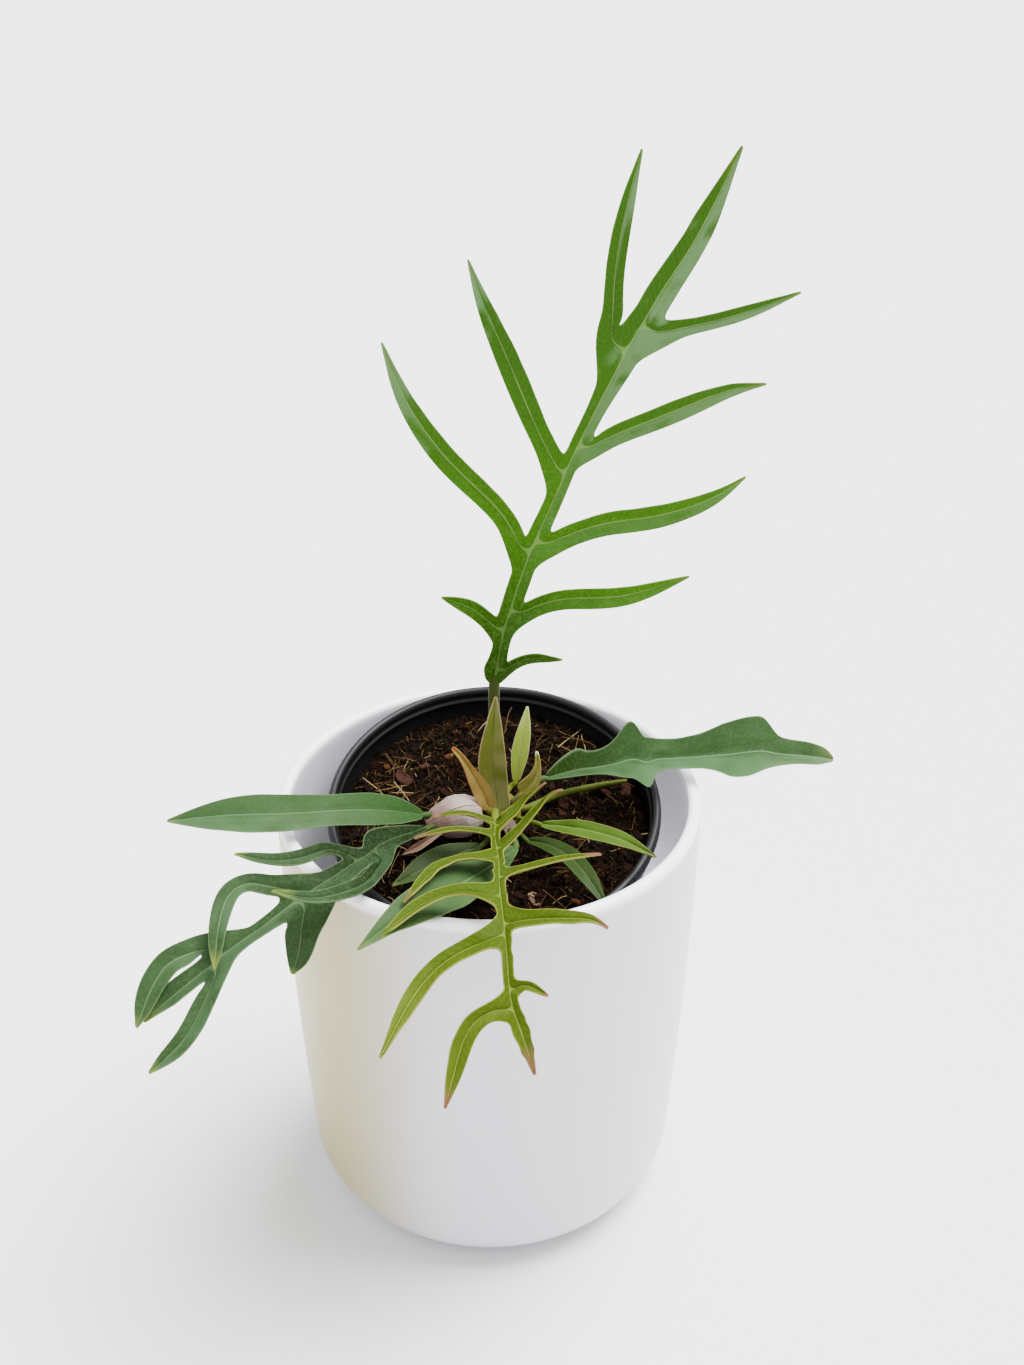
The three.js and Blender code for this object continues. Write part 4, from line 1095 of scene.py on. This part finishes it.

# %% [markdown]
# ## Leaf colours
# Up close a leaf is not one green. The midvein and margin are paler, fine side veins slant from the
# midvein, the blade is mottled, and old tips turn yellow and brown. The facts on the vertices say where
# each of these goes, so the pattern follows the blade however it curls. Light is painted in as well: a
# paler sheen where the blade faces the sky more than the whole leaf, which is a painted reflection of the
# sky, and painted shade at the base of the blade.

# %% Leaf colours
def leaf_finish(name, blade, deep, sheen, vein, margin, tip, gloss=0.08, sheen_share=0.8, tip_share=0.5,
                margin_share=0.5, vein_share=0.8, side_veins=0.05, streaks=0.0, high_mm=(-400, -300),
                base_shade_mm=(0, 1), browning=0.0, tip_from=0.75, duller_up_high=None, mottle=0.1,
                tips_x_mm=(-400, -300)):
    """The upper face of a leaf. Its sheen is painted: a paler colour where the blade faces the sky, a
    painted reflection of the sky, which grows between two heights, where its blade may also turn towards a
    duller colour. The deep colour of its base is painted shade, and it gives way to the blade colour along
    the leaf. Only tips to the right of tips_x_mm wither."""
    leaf = Finish(name, Specular_IOR_Level=gloss)
    from_vein, from_edge = leaf.fact("vein_mm"), leaf.fact("edge_mm")
    along, near_tip = leaf.fact("along_mm"), leaf.fact("tip")
    patches = leaf.cloud(110, 4)
    fine = leaf.cloud(1400, 3)
    wobble = leaf.cloud(260, 2)
    midvein = 1 - leaf.ramp(from_vein + wobble * 0.15, 0.18, 0.5)
    slant = leaf.stripes(along - 1.1 * from_vein + wobble * 1.2, 2.6)
    ribs = leaf.ramp(slant, 0.80, 1.0) * leaf.ramp(from_vein, 0.2, 0.9)
    rim = (1 - leaf.ramp(from_edge + wobble * 0.2, 0.14, 0.42)) * leaf.ramp(from_vein, 0.6, 1.2)
    # Painted sheen: where a place faces the sky more than the whole leaf
    skyward = leaf.ramp(leaf.fact("sky") + (fine - 0.5) * 0.05, -0.05, 0.12)
    # Painted shade: near its base, by the crown, the blade takes the deep colour, and its painted sheen and
    # midvein are fainter there
    past_base_shade = leaf.ramp(along, *base_shade_mm)
    body = leaf.mix(past_base_shade, tint(deep), tint(blade))
    body = leaf.mix(leaf.ramp(patches, 0.35, 0.7) * 0.3, body, tint(deep))
    body = leaf.mix(leaf.ramp(leaf.cloud(850, 3), 0.42, 0.72) * mottle, body, tint(vein))
    fibres = leaf.stripes(from_vein + wobble * 0.5, 0.6)
    body = leaf.mix(fibres * streaks, body, tint(deep))
    high = leaf.ramp(leaf.axis("z"), high_mm[0] * MM, high_mm[1] * MM)
    # Higher up the blade turns towards a duller colour
    body = leaf.mix(high * 0.85, body, tint(duller_up_high)) if duller_up_high else body
    # The painted sheen, a painted reflection of the sky, grows with height and is fainter in the painted
    # shade at the base
    body = leaf.mix(skyward * (0.12 + 0.88 * high) * (0.4 + 0.6 * past_base_shade) * sheen_share, body, tint(sheen))
    body = leaf.mix(ribs * side_veins, body, tint(vein))
    hem = leaf.mix(leaf.ramp(patches, 0.45, 0.6) * browning, tint(margin), tint(tip))
    body = leaf.mix(rim * margin_share, body, hem)
    body = leaf.mix(midvein * vein_share * (0.4 + 0.6 * past_base_shade), body, tint(vein))
    withered = leaf.ramp(near_tip + patches * 0.5, tip_from, tip_from + 0.6)
    withered = withered * leaf.ramp(leaf.axis("x"), tips_x_mm[0] * MM, tips_x_mm[1] * MM)
    body = leaf.mix(withered * tip_share, body, tint(tip))
    leaf.surface(Base_Color=body, Roughness=0.46 + 0.14 * fine)
    leaf.relief(fine * 0.25 + ribs * -0.07 + midvein * -0.5, 0.25)
    return leaf.material


fresh_face = leaf_finish("fresh leaf", "335e02", "1b3600", "56744a", "6c8a48", "567434", "6b7a2c",
                         gloss=0.03, vein_share=0.55, high_mm=(230, 330), base_shade_mm=(0, 70),
                         tip_share=0.3, duller_up_high="294810", mottle=0.14)
print("fresh leaf nodes:", len(fresh_face.node_tree.nodes))


# %% Lower faces and stalks
def under_finish(name, blade, vein):
    """The paler, duller lower face of a leaf"""
    under = Finish(name, Roughness=0.6, Specular_IOR_Level=0.1)
    midvein = 1 - under.ramp(under.fact("vein_mm"), 0.3, 0.9)
    patches = under.cloud(140, 3)
    body = under.mix(patches * 0.35, tint(blade), tint(vein))
    under.surface(Base_Color=under.mix(midvein * 0.7, body, tint(vein)))
    under.relief(under.cloud(1200, 3), 0.12)
    return under.material


def stalk_finish(name, lower, upper, low_mm, high_mm):
    """A stalk whose colour changes as it rises"""
    green = Finish(name, Roughness=0.5, Specular_IOR_Level=0.07)
    streaks = green.cloud(700, 3)
    rise = green.ramp(green.axis("z") + (streaks - 0.5) * 0.008, low_mm * MM, high_mm * MM)
    body = green.mix(rise, tint(lower), tint(upper))
    green.surface(Base_Color=green.mix(streaks * 0.3, body, tint(upper)))
    green.relief(green.cloud(900, 4), 0.12)
    return green.material


fresh = (fresh_face, under_finish("under a fresh leaf", "42601f", "5c7440"),
         stalk_finish("olive stalk", "23260a", "2a330c", 165, 200))
print("finishes of the fresh leaf:", [material.name for material in fresh])


# %% A whole leaf
GROOVE = 0.3
BLADE_THICKNESS = 0.5
# The ridge under the midrib: its rings, the shares of the leaf between which it runs, and its
# radius where it ends
RIDGE_RINGS = 7
RIDGE_FROM = 0.02
RIDGE_TO = 0.42
RIDGE_END = 0.45


def leaf_piece(name, measures, finishes):
    """A whole leaf: its blade, and its stalk that runs on as a ridge under the midrib"""
    leaf = Leaf(measures)
    sheet = grow(name + "_fine", leaf, widest=measures.get("widest", 6))
    bpy.ops.object.mode_set(mode="EDIT")
    bpy.ops.mesh.select_all(action="SELECT")
    bpy.ops.mesh.normals_make_consistent(inside=False)
    faces = bmesh.from_edit_mesh(sheet.data).faces
    if sum(Vector(leaf.facing).dot(face.normal) * face.calc_area() for face in faces) < 0:
        bpy.ops.mesh.flip_normals()
    bpy.ops.object.mode_set(mode="OBJECT")
    press_veins(sheet, leaf.facing, GROOVE, measures.get("wave", 0.5), seed=leaf.length)
    upper, under, stem = finishes
    sheet.data.materials.append(upper)
    sheet.data.materials.append(under)
    thicken(sheet, BLADE_THICKNESS)
    radius = measures["stalk_radius"]
    points = list(measures["stalk"])
    radii = [radius] * len(points)
    ridge = np.linspace(RIDGE_FROM, RIDGE_TO, RIDGE_RINGS)
    for t, ridge_radius in zip(ridge, np.linspace(radius * 0.95, RIDGE_END, RIDGE_RINGS)):
        middle, ahead, up, across = leaf.frame(t * leaf.length)
        points.append(list(middle - up * ridge_radius))
        radii.append(ridge_radius)
    tube = stalk(name + "_stalk", points, radii)
    tube.data.materials.append(stem)
    only(sheet)
    tube.select_set(True)
    bpy.ops.object.join()
    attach(sheet, "root")
    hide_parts(name)
    print(name, "is", round(leaf.length), "mm long,", len(sheet.data.polygons), "faces")
    return sheet


piece = leaf_piece("tall_leaf", LEAVES["tall_leaf"], fresh)

# %% Grow the other leaves with lobes
young = (leaf_finish("young leaf", "4a5a14", "2e4004", "62702a", "84903c", "868838", "805642", gloss=0.03,
                     tip_share=0.95, margin_share=0.6, sheen_share=0.6, high_mm=(172, 135),
                     base_shade_mm=(75, 150), browning=0.4, tip_from=0.55, mottle=0.05, tips_x_mm=(-30, -20)),
         under_finish("under a young leaf", "5a6420", "7a7c40"),
         stalk_finish("young stalk", "4c581c", "5c6a20", 150, 165))
deep = (leaf_finish("deep leaf", "283f1f", "162a02", "43623d", "56704e", "647a58", "6a7440", gloss=0.05,
                    side_veins=0.02, base_shade_mm=(4, 40)),
        under_finish("under a deep leaf", "3a5030", "52684a"),
        stalk_finish("deep stalk", "3c4a20", "2e4420", 150, 170))
dark = (leaf_finish("dark leaf", "2a3f23", "0f1d08", "385034", "587049", "7a8e64", "6e7c34", gloss=0.03,
                    side_veins=0.02, margin_share=0.25, vein_share=0.5, tip_share=0.7, base_shade_mm=(35, 95)),
        under_finish("under a dark leaf", "2e4226", "40553a"),
        stalk_finish("dark stalk", "38441c", "263a1a", 150, 170))
for name, finishes, slot in (
        ("young_leaf", young, "young_leaf"), ("left_lobed_leaf", dark, "deep_leaf"),
        ("right_lobed_leaf", deep, "deep_leaf")):
    piece = leaf_piece(name, LEAVES[name], finishes)

# %% [markdown]
# ## Plain leaves and scales
# The plain lance leaves and the scales round the new growth are grown by the same steps as the lobed ones,
# only without lobes. Each kind has its own greens, and two kinds also carry painted light: leaves in the
# shade of others are painted darker, as painted shade, the youngest are nearly yellow, and the small
# upright one is paler still, partly its own colour and partly painted light shining through its thin blade.
# The scales dry to olive and brown. The other colours are the leaves' own, which light alone could not
# give, because neighbours in the same light differ.

# %% Grow the lance leaves
even = (leaf_finish("even leaf", "334b2a", "26421a", "44623f", "52704a", "647a58", "6a7440", gloss=0.05,
                    sheen_share=0.45, vein_share=0.6, side_veins=0.02, streaks=0.12, base_shade_mm=(4, 40)),
        under_finish("under an even leaf", "3a5030", "52684a"),
        stalk_finish("even stalk", "3c4a20", "2e4420", 150, 170))
# Painted shade: these greens are darker because the leaves lie low, in the shade of others and over the
# soil
shaded = (leaf_finish("shaded leaf", "1c290b", "152107", "243511", "334524", "40542c", "5c6638"),
          under_finish("under a shaded leaf", "2e4020", "40522e"),
          stalk_finish("shaded stalk", "38441c", "28401a", 150, 170))
middling = (leaf_finish("middling leaf", "2c4420", "243a18", "395229", "506840", "5e744a", "6a7440",
                        side_veins=0.03),
            under_finish("under a middling leaf", "3f5634", "566c4a"),
            stalk_finish("middling stalk", "3c4a20", "36501f", 150, 170))
light = (leaf_finish("light leaf", "2f4608", "2c4006", "3e5618", "5c7230", "76863f", "8a6a4c",
                     margin_share=0.7, browning=0.5),
         under_finish("under a light leaf", "4a5e20", "66763c"),
         stalk_finish("light stalk", "444f18", "445a1c", 150, 165))
# Painted light: the bright greens are partly the young leaf's own and partly painted backlight, light
# shining through its thin blade
bright = (leaf_finish("bright leaf", "9cb03e", "8a9f34", "a6b65a", "b8c286", "bcc48c", "b0a070",
                      margin_share=0.8, vein_share=0.6),
          under_finish("under a bright leaf", "7e9234", "94a250"),
          stalk_finish("bright stalk", "7b8a30", "8a9f36", 155, 165))
olive = (leaf_finish("olive sheath", "585c20", "475212", "68683c", "5e6424", "8c7858", "8a6450",
                     side_veins=0, vein_share=0.25, streaks=0.4, margin_share=0.8),
         under_finish("inside the olive sheath", "565a26", "6e7238"),
         stalk_finish("olive sheath foot", "56502a", "585a16", 155, 170))
brown = (leaf_finish("brown sheath", "7c682e", "6a5222", "86703c", "7c6a34", "8a5430", "8a4420",
                     side_veins=0, vein_share=0.15, streaks=0.5, margin_share=0.6, tip_share=0.9),
         under_finish("inside the brown sheath", "6a4820", "77552c"),
         stalk_finish("brown sheath foot", "56581e", "7c682e", 157, 168))
tan = (leaf_finish("tan sheath", "7e7a34", "6a6828", "8a8650", "8a8450", "9a7c54", "b8ac90",
                   side_veins=0, vein_share=0.2, streaks=0.4, tip_share=1.0),
       under_finish("inside the tan sheath", "6e6a38", "857a4c"),
       stalk_finish("tan sheath foot", "55582a", "76723a", 155, 170))
for name, finishes, slot in (
        ("left_lance_leaf", even, "deep_leaf"), ("front_lance_leaf", middling, "deep_leaf"),
        ("back_short_leaf", shaded, "deep_leaf"), ("right_lance_leaf_lower", shaded, "deep_leaf"),
        ("right_lance_leaf_upper", light, "young_leaf"), ("small_upright_leaf", bright, "young_leaf"),
        ("olive_sheath_leaf", olive, "olive_sheath"), ("brown_sheath_leaf", brown, "brown_sheath"),
        ("right_sheath_leaf", tan, "brown_sheath")):
    piece = leaf_piece(name, LANCES[name], finishes)

# %% [markdown]
# ## Crown and root
# Old leaves fall and leave rings on the short stem, and a new root creeps over the soil.
# Both start as a stalk does, and their skin is then roughened by moving its points in and
# out. Rings as bumps in the finish alone would do from afar, but they would leave the
# outline too smooth.

# %% Crown
def roughened(piece, levels, depth, grain):
    """Subdivides a piece and moves its skin in and out by noise, both in millimetres"""
    modify(piece, "SUBSURF", levels=levels, render_levels=levels)
    places = [(v, v.normal.copy()) for v in piece.data.vertices]
    for vertex, normal in places:
        vertex.co += normal * depth * MM * noise.noise(vertex.co / (grain * MM))
    piece.data.update()


crown = stalk("crown_fine", [[2, 7, 139], [2.5, 6, 147], [3, 4.5, 152.5], [2.5, 4, 157.5], [2, 5, 162]],
              [5.5, 7, 8.8, 7, 3.4])
roughened(crown, levels=2, depth=0.5, grain=2.2)
bark = Finish("crown skin", Roughness=0.6, Specular_IOR_Level=0.15)
rings = bark.stripes(bark.axis("z") + bark.cloud(120, 2) * 0.003, 0.0024)
bark.surface(Base_Color=bark.mix(bark.cloud(220, 4), tint("66641f"), tint("4a3c14")))
bark.relief(rings * 0.5 + bark.cloud(600, 4), 0.3)
crown.data.materials.append(bark.material)
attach(crown, "root")
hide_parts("crown")
print("crown:", len(crown.data.polygons), "faces")

# %% Aerial root
root = stalk("aerial_root_fine", [[7, 7, 152.2], [13, 5.5, 153.4], [25, 12, 154.8], [40, 16.6, 155.6],
                                  [50, 18.7, 156]], [1.4, 1.4, 1.25, 1.1, 0.7])
roughened(root, levels=1, depth=0.15, grain=1.2)
skin = Finish("root skin", Roughness=0.55, Specular_IOR_Level=0.1)
skin.surface(Base_Color=skin.mix(skin.cloud(300, 4), tint("4e5818"), tint("384210")))
skin.relief(skin.cloud(900, 4), 0.15)
root.data.materials.append(skin.material)
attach(root, "root")
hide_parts("aerial_root")
print("aerial root:", len(root.data.polygons), "faces")

# %% [markdown]
# ## Papery sheath
# The torn sheath of a past leaf has dried to paper. It is a flat grid wrapped round the
# stalks like a sleeve that narrows, with fine ribs and a ragged end. Cloth simulation could
# crease it more freely, but the grid keeps it clear of the stalks. A dry strip hangs from
# it, and a husk lies in front of the crown: both are grown as small leaves.

# %% Papery sheath
SHEATH_FROM = np.array((-4, -1.6, 156.4))
SHEATH_TO = np.array((-18.8, -7.6, 156.8))
SHEATH_FORM = [5.6, 7.4, 8.1, 7.8, 6.7, 4.8, 1.6]
SHEATH_LENGTH = 19.5
SHEATH_START = -35
SHEATH_SWEEP = 197
PAPER_THICKNESS = 0.25
bpy.ops.mesh.primitive_grid_add(x_subdivisions=90, y_subdivisions=60, size=2)
sheath = bpy.context.active_object
sheath.name = "papery_sheath_fine"
ahead = unit(SHEATH_TO - SHEATH_FROM)
outward = unit(np.cross((0, 0, 1), ahead))
along = sheath.data.attributes.new("along_mm", "FLOAT", "POINT")
round_it = sheath.data.attributes.new("vein_mm", "FLOAT", "POINT")
for k, vertex in enumerate(sheath.data.vertices):
    u, v = (vertex.co.x + 1) / 2, (vertex.co.y + 1) / 2
    torn = 1.4 * noise.noise(Vector((v * 9, 3, 0))) + 0.7 * noise.noise(Vector((v * 31, 5, 0)))
    reach = SHEATH_LENGTH * u + torn * max(u - 0.5, 0)
    angle = math.radians(SHEATH_START + SHEATH_SWEEP * v)
    radius = float(np.interp(u, np.linspace(0, 1, len(SHEATH_FORM)), SHEATH_FORM))
    radius += 0.05 * math.sin(v * 120 + 3 * noise.noise(Vector((u * 3, v * 8, 0))))
    radius += 0.5 * noise.noise(Vector((u * 4, v * 5, 7)))
    flatten = 0.85 if v < 0.5 else 1
    spot = SHEATH_FROM + ahead * reach + outward * radius * math.cos(angle) * flatten
    vertex.co = Vector(spot + np.array((0, 0, radius * math.sin(angle)))) * MM
    along.data[k].value = reach
    round_it.data[k].value = v * 20
print("papery sheath:", len(sheath.data.polygons), "faces before it gets its thickness")

# %% Dry paper
paper = Finish("dry paper sheath", Roughness=0.7, Subsurface_Weight=0.15, Subsurface_Scale=0.0005)
lines = paper.stripes(paper.fact("vein_mm") + paper.cloud(200, 2) * 0.8, 0.55)
far = paper.ramp(paper.fact("along_mm") + paper.cloud(220, 3) * 5, 9, 17)
pale = paper.mix(lines * 0.3, tint("9c8c84"), tint("80685c"))
paper.surface(Base_Color=paper.mix(far * 0.8, pale, tint("5c3f2e")))
paper.relief(lines * 0.3 + paper.cloud(800, 3) * 0.6, 0.1)
sheath.data.materials.append(paper.material)
sheath.data.materials.append(paper.material)
thicken(sheath, PAPER_THICKNESS)
print("paper nodes:", len(paper.tree.nodes))


# %% Dry strip and husk
def scrap(name, finish, wave, seed, **measures):
    """A small dry leaf with one finish on both faces"""
    form = Leaf(measures)
    piece = grow(name, form, widest=2)
    press_veins(piece, form.facing, 0.1, wave, seed)
    piece.data.materials.append(finish)
    piece.data.materials.append(finish)
    thicken(piece, PAPER_THICKNESS)
    return piece


strip = scrap(
    "dry_strip", leaf_finish("dry strip", "6e5244", "553c2e", "7c6452", "8a6f5c", "93806c", "4a3024"),
    wave=0.6, seed=4, facing=[0, -0.7, 0.7], wing=[0.6, 1.2, 1.5, 0.3],
    midrib=[[-15.8, -11.2, 155.9], [-20, -13.2, 154.4], [-25, -16.3, 152.8], [-30, -19.5, 152.2]])
husk = scrap(
    "husk", leaf_finish("dry husk", "6c574c", "513a30", "77645a", "7c6a60", "86746a", "5a3c30",
                        streaks=0.5, vein_share=0.2, side_veins=0),
    wave=0.8, seed=9, facing=[0.3, -0.75, 0.6], wing=[1.6, 2.6, 2.6, 1.4, 0.4], ragged=0.5,
    midrib=[[5, -6, 157.5], [6.5, -10, 157.5], [7.5, -13.5, 155.5], [7, -16.5, 153.5]])
only(sheath)
strip.select_set(True)
husk.select_set(True)
bpy.ops.object.join()
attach(sheath, "root")
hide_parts("papery_sheath")
print("papery sheath:", len(sheath.data.polygons), "faces")

# %% [markdown]
# ## Size
# The fine pieces are meant to keep to the solid model's box within about a third of a millimetre.
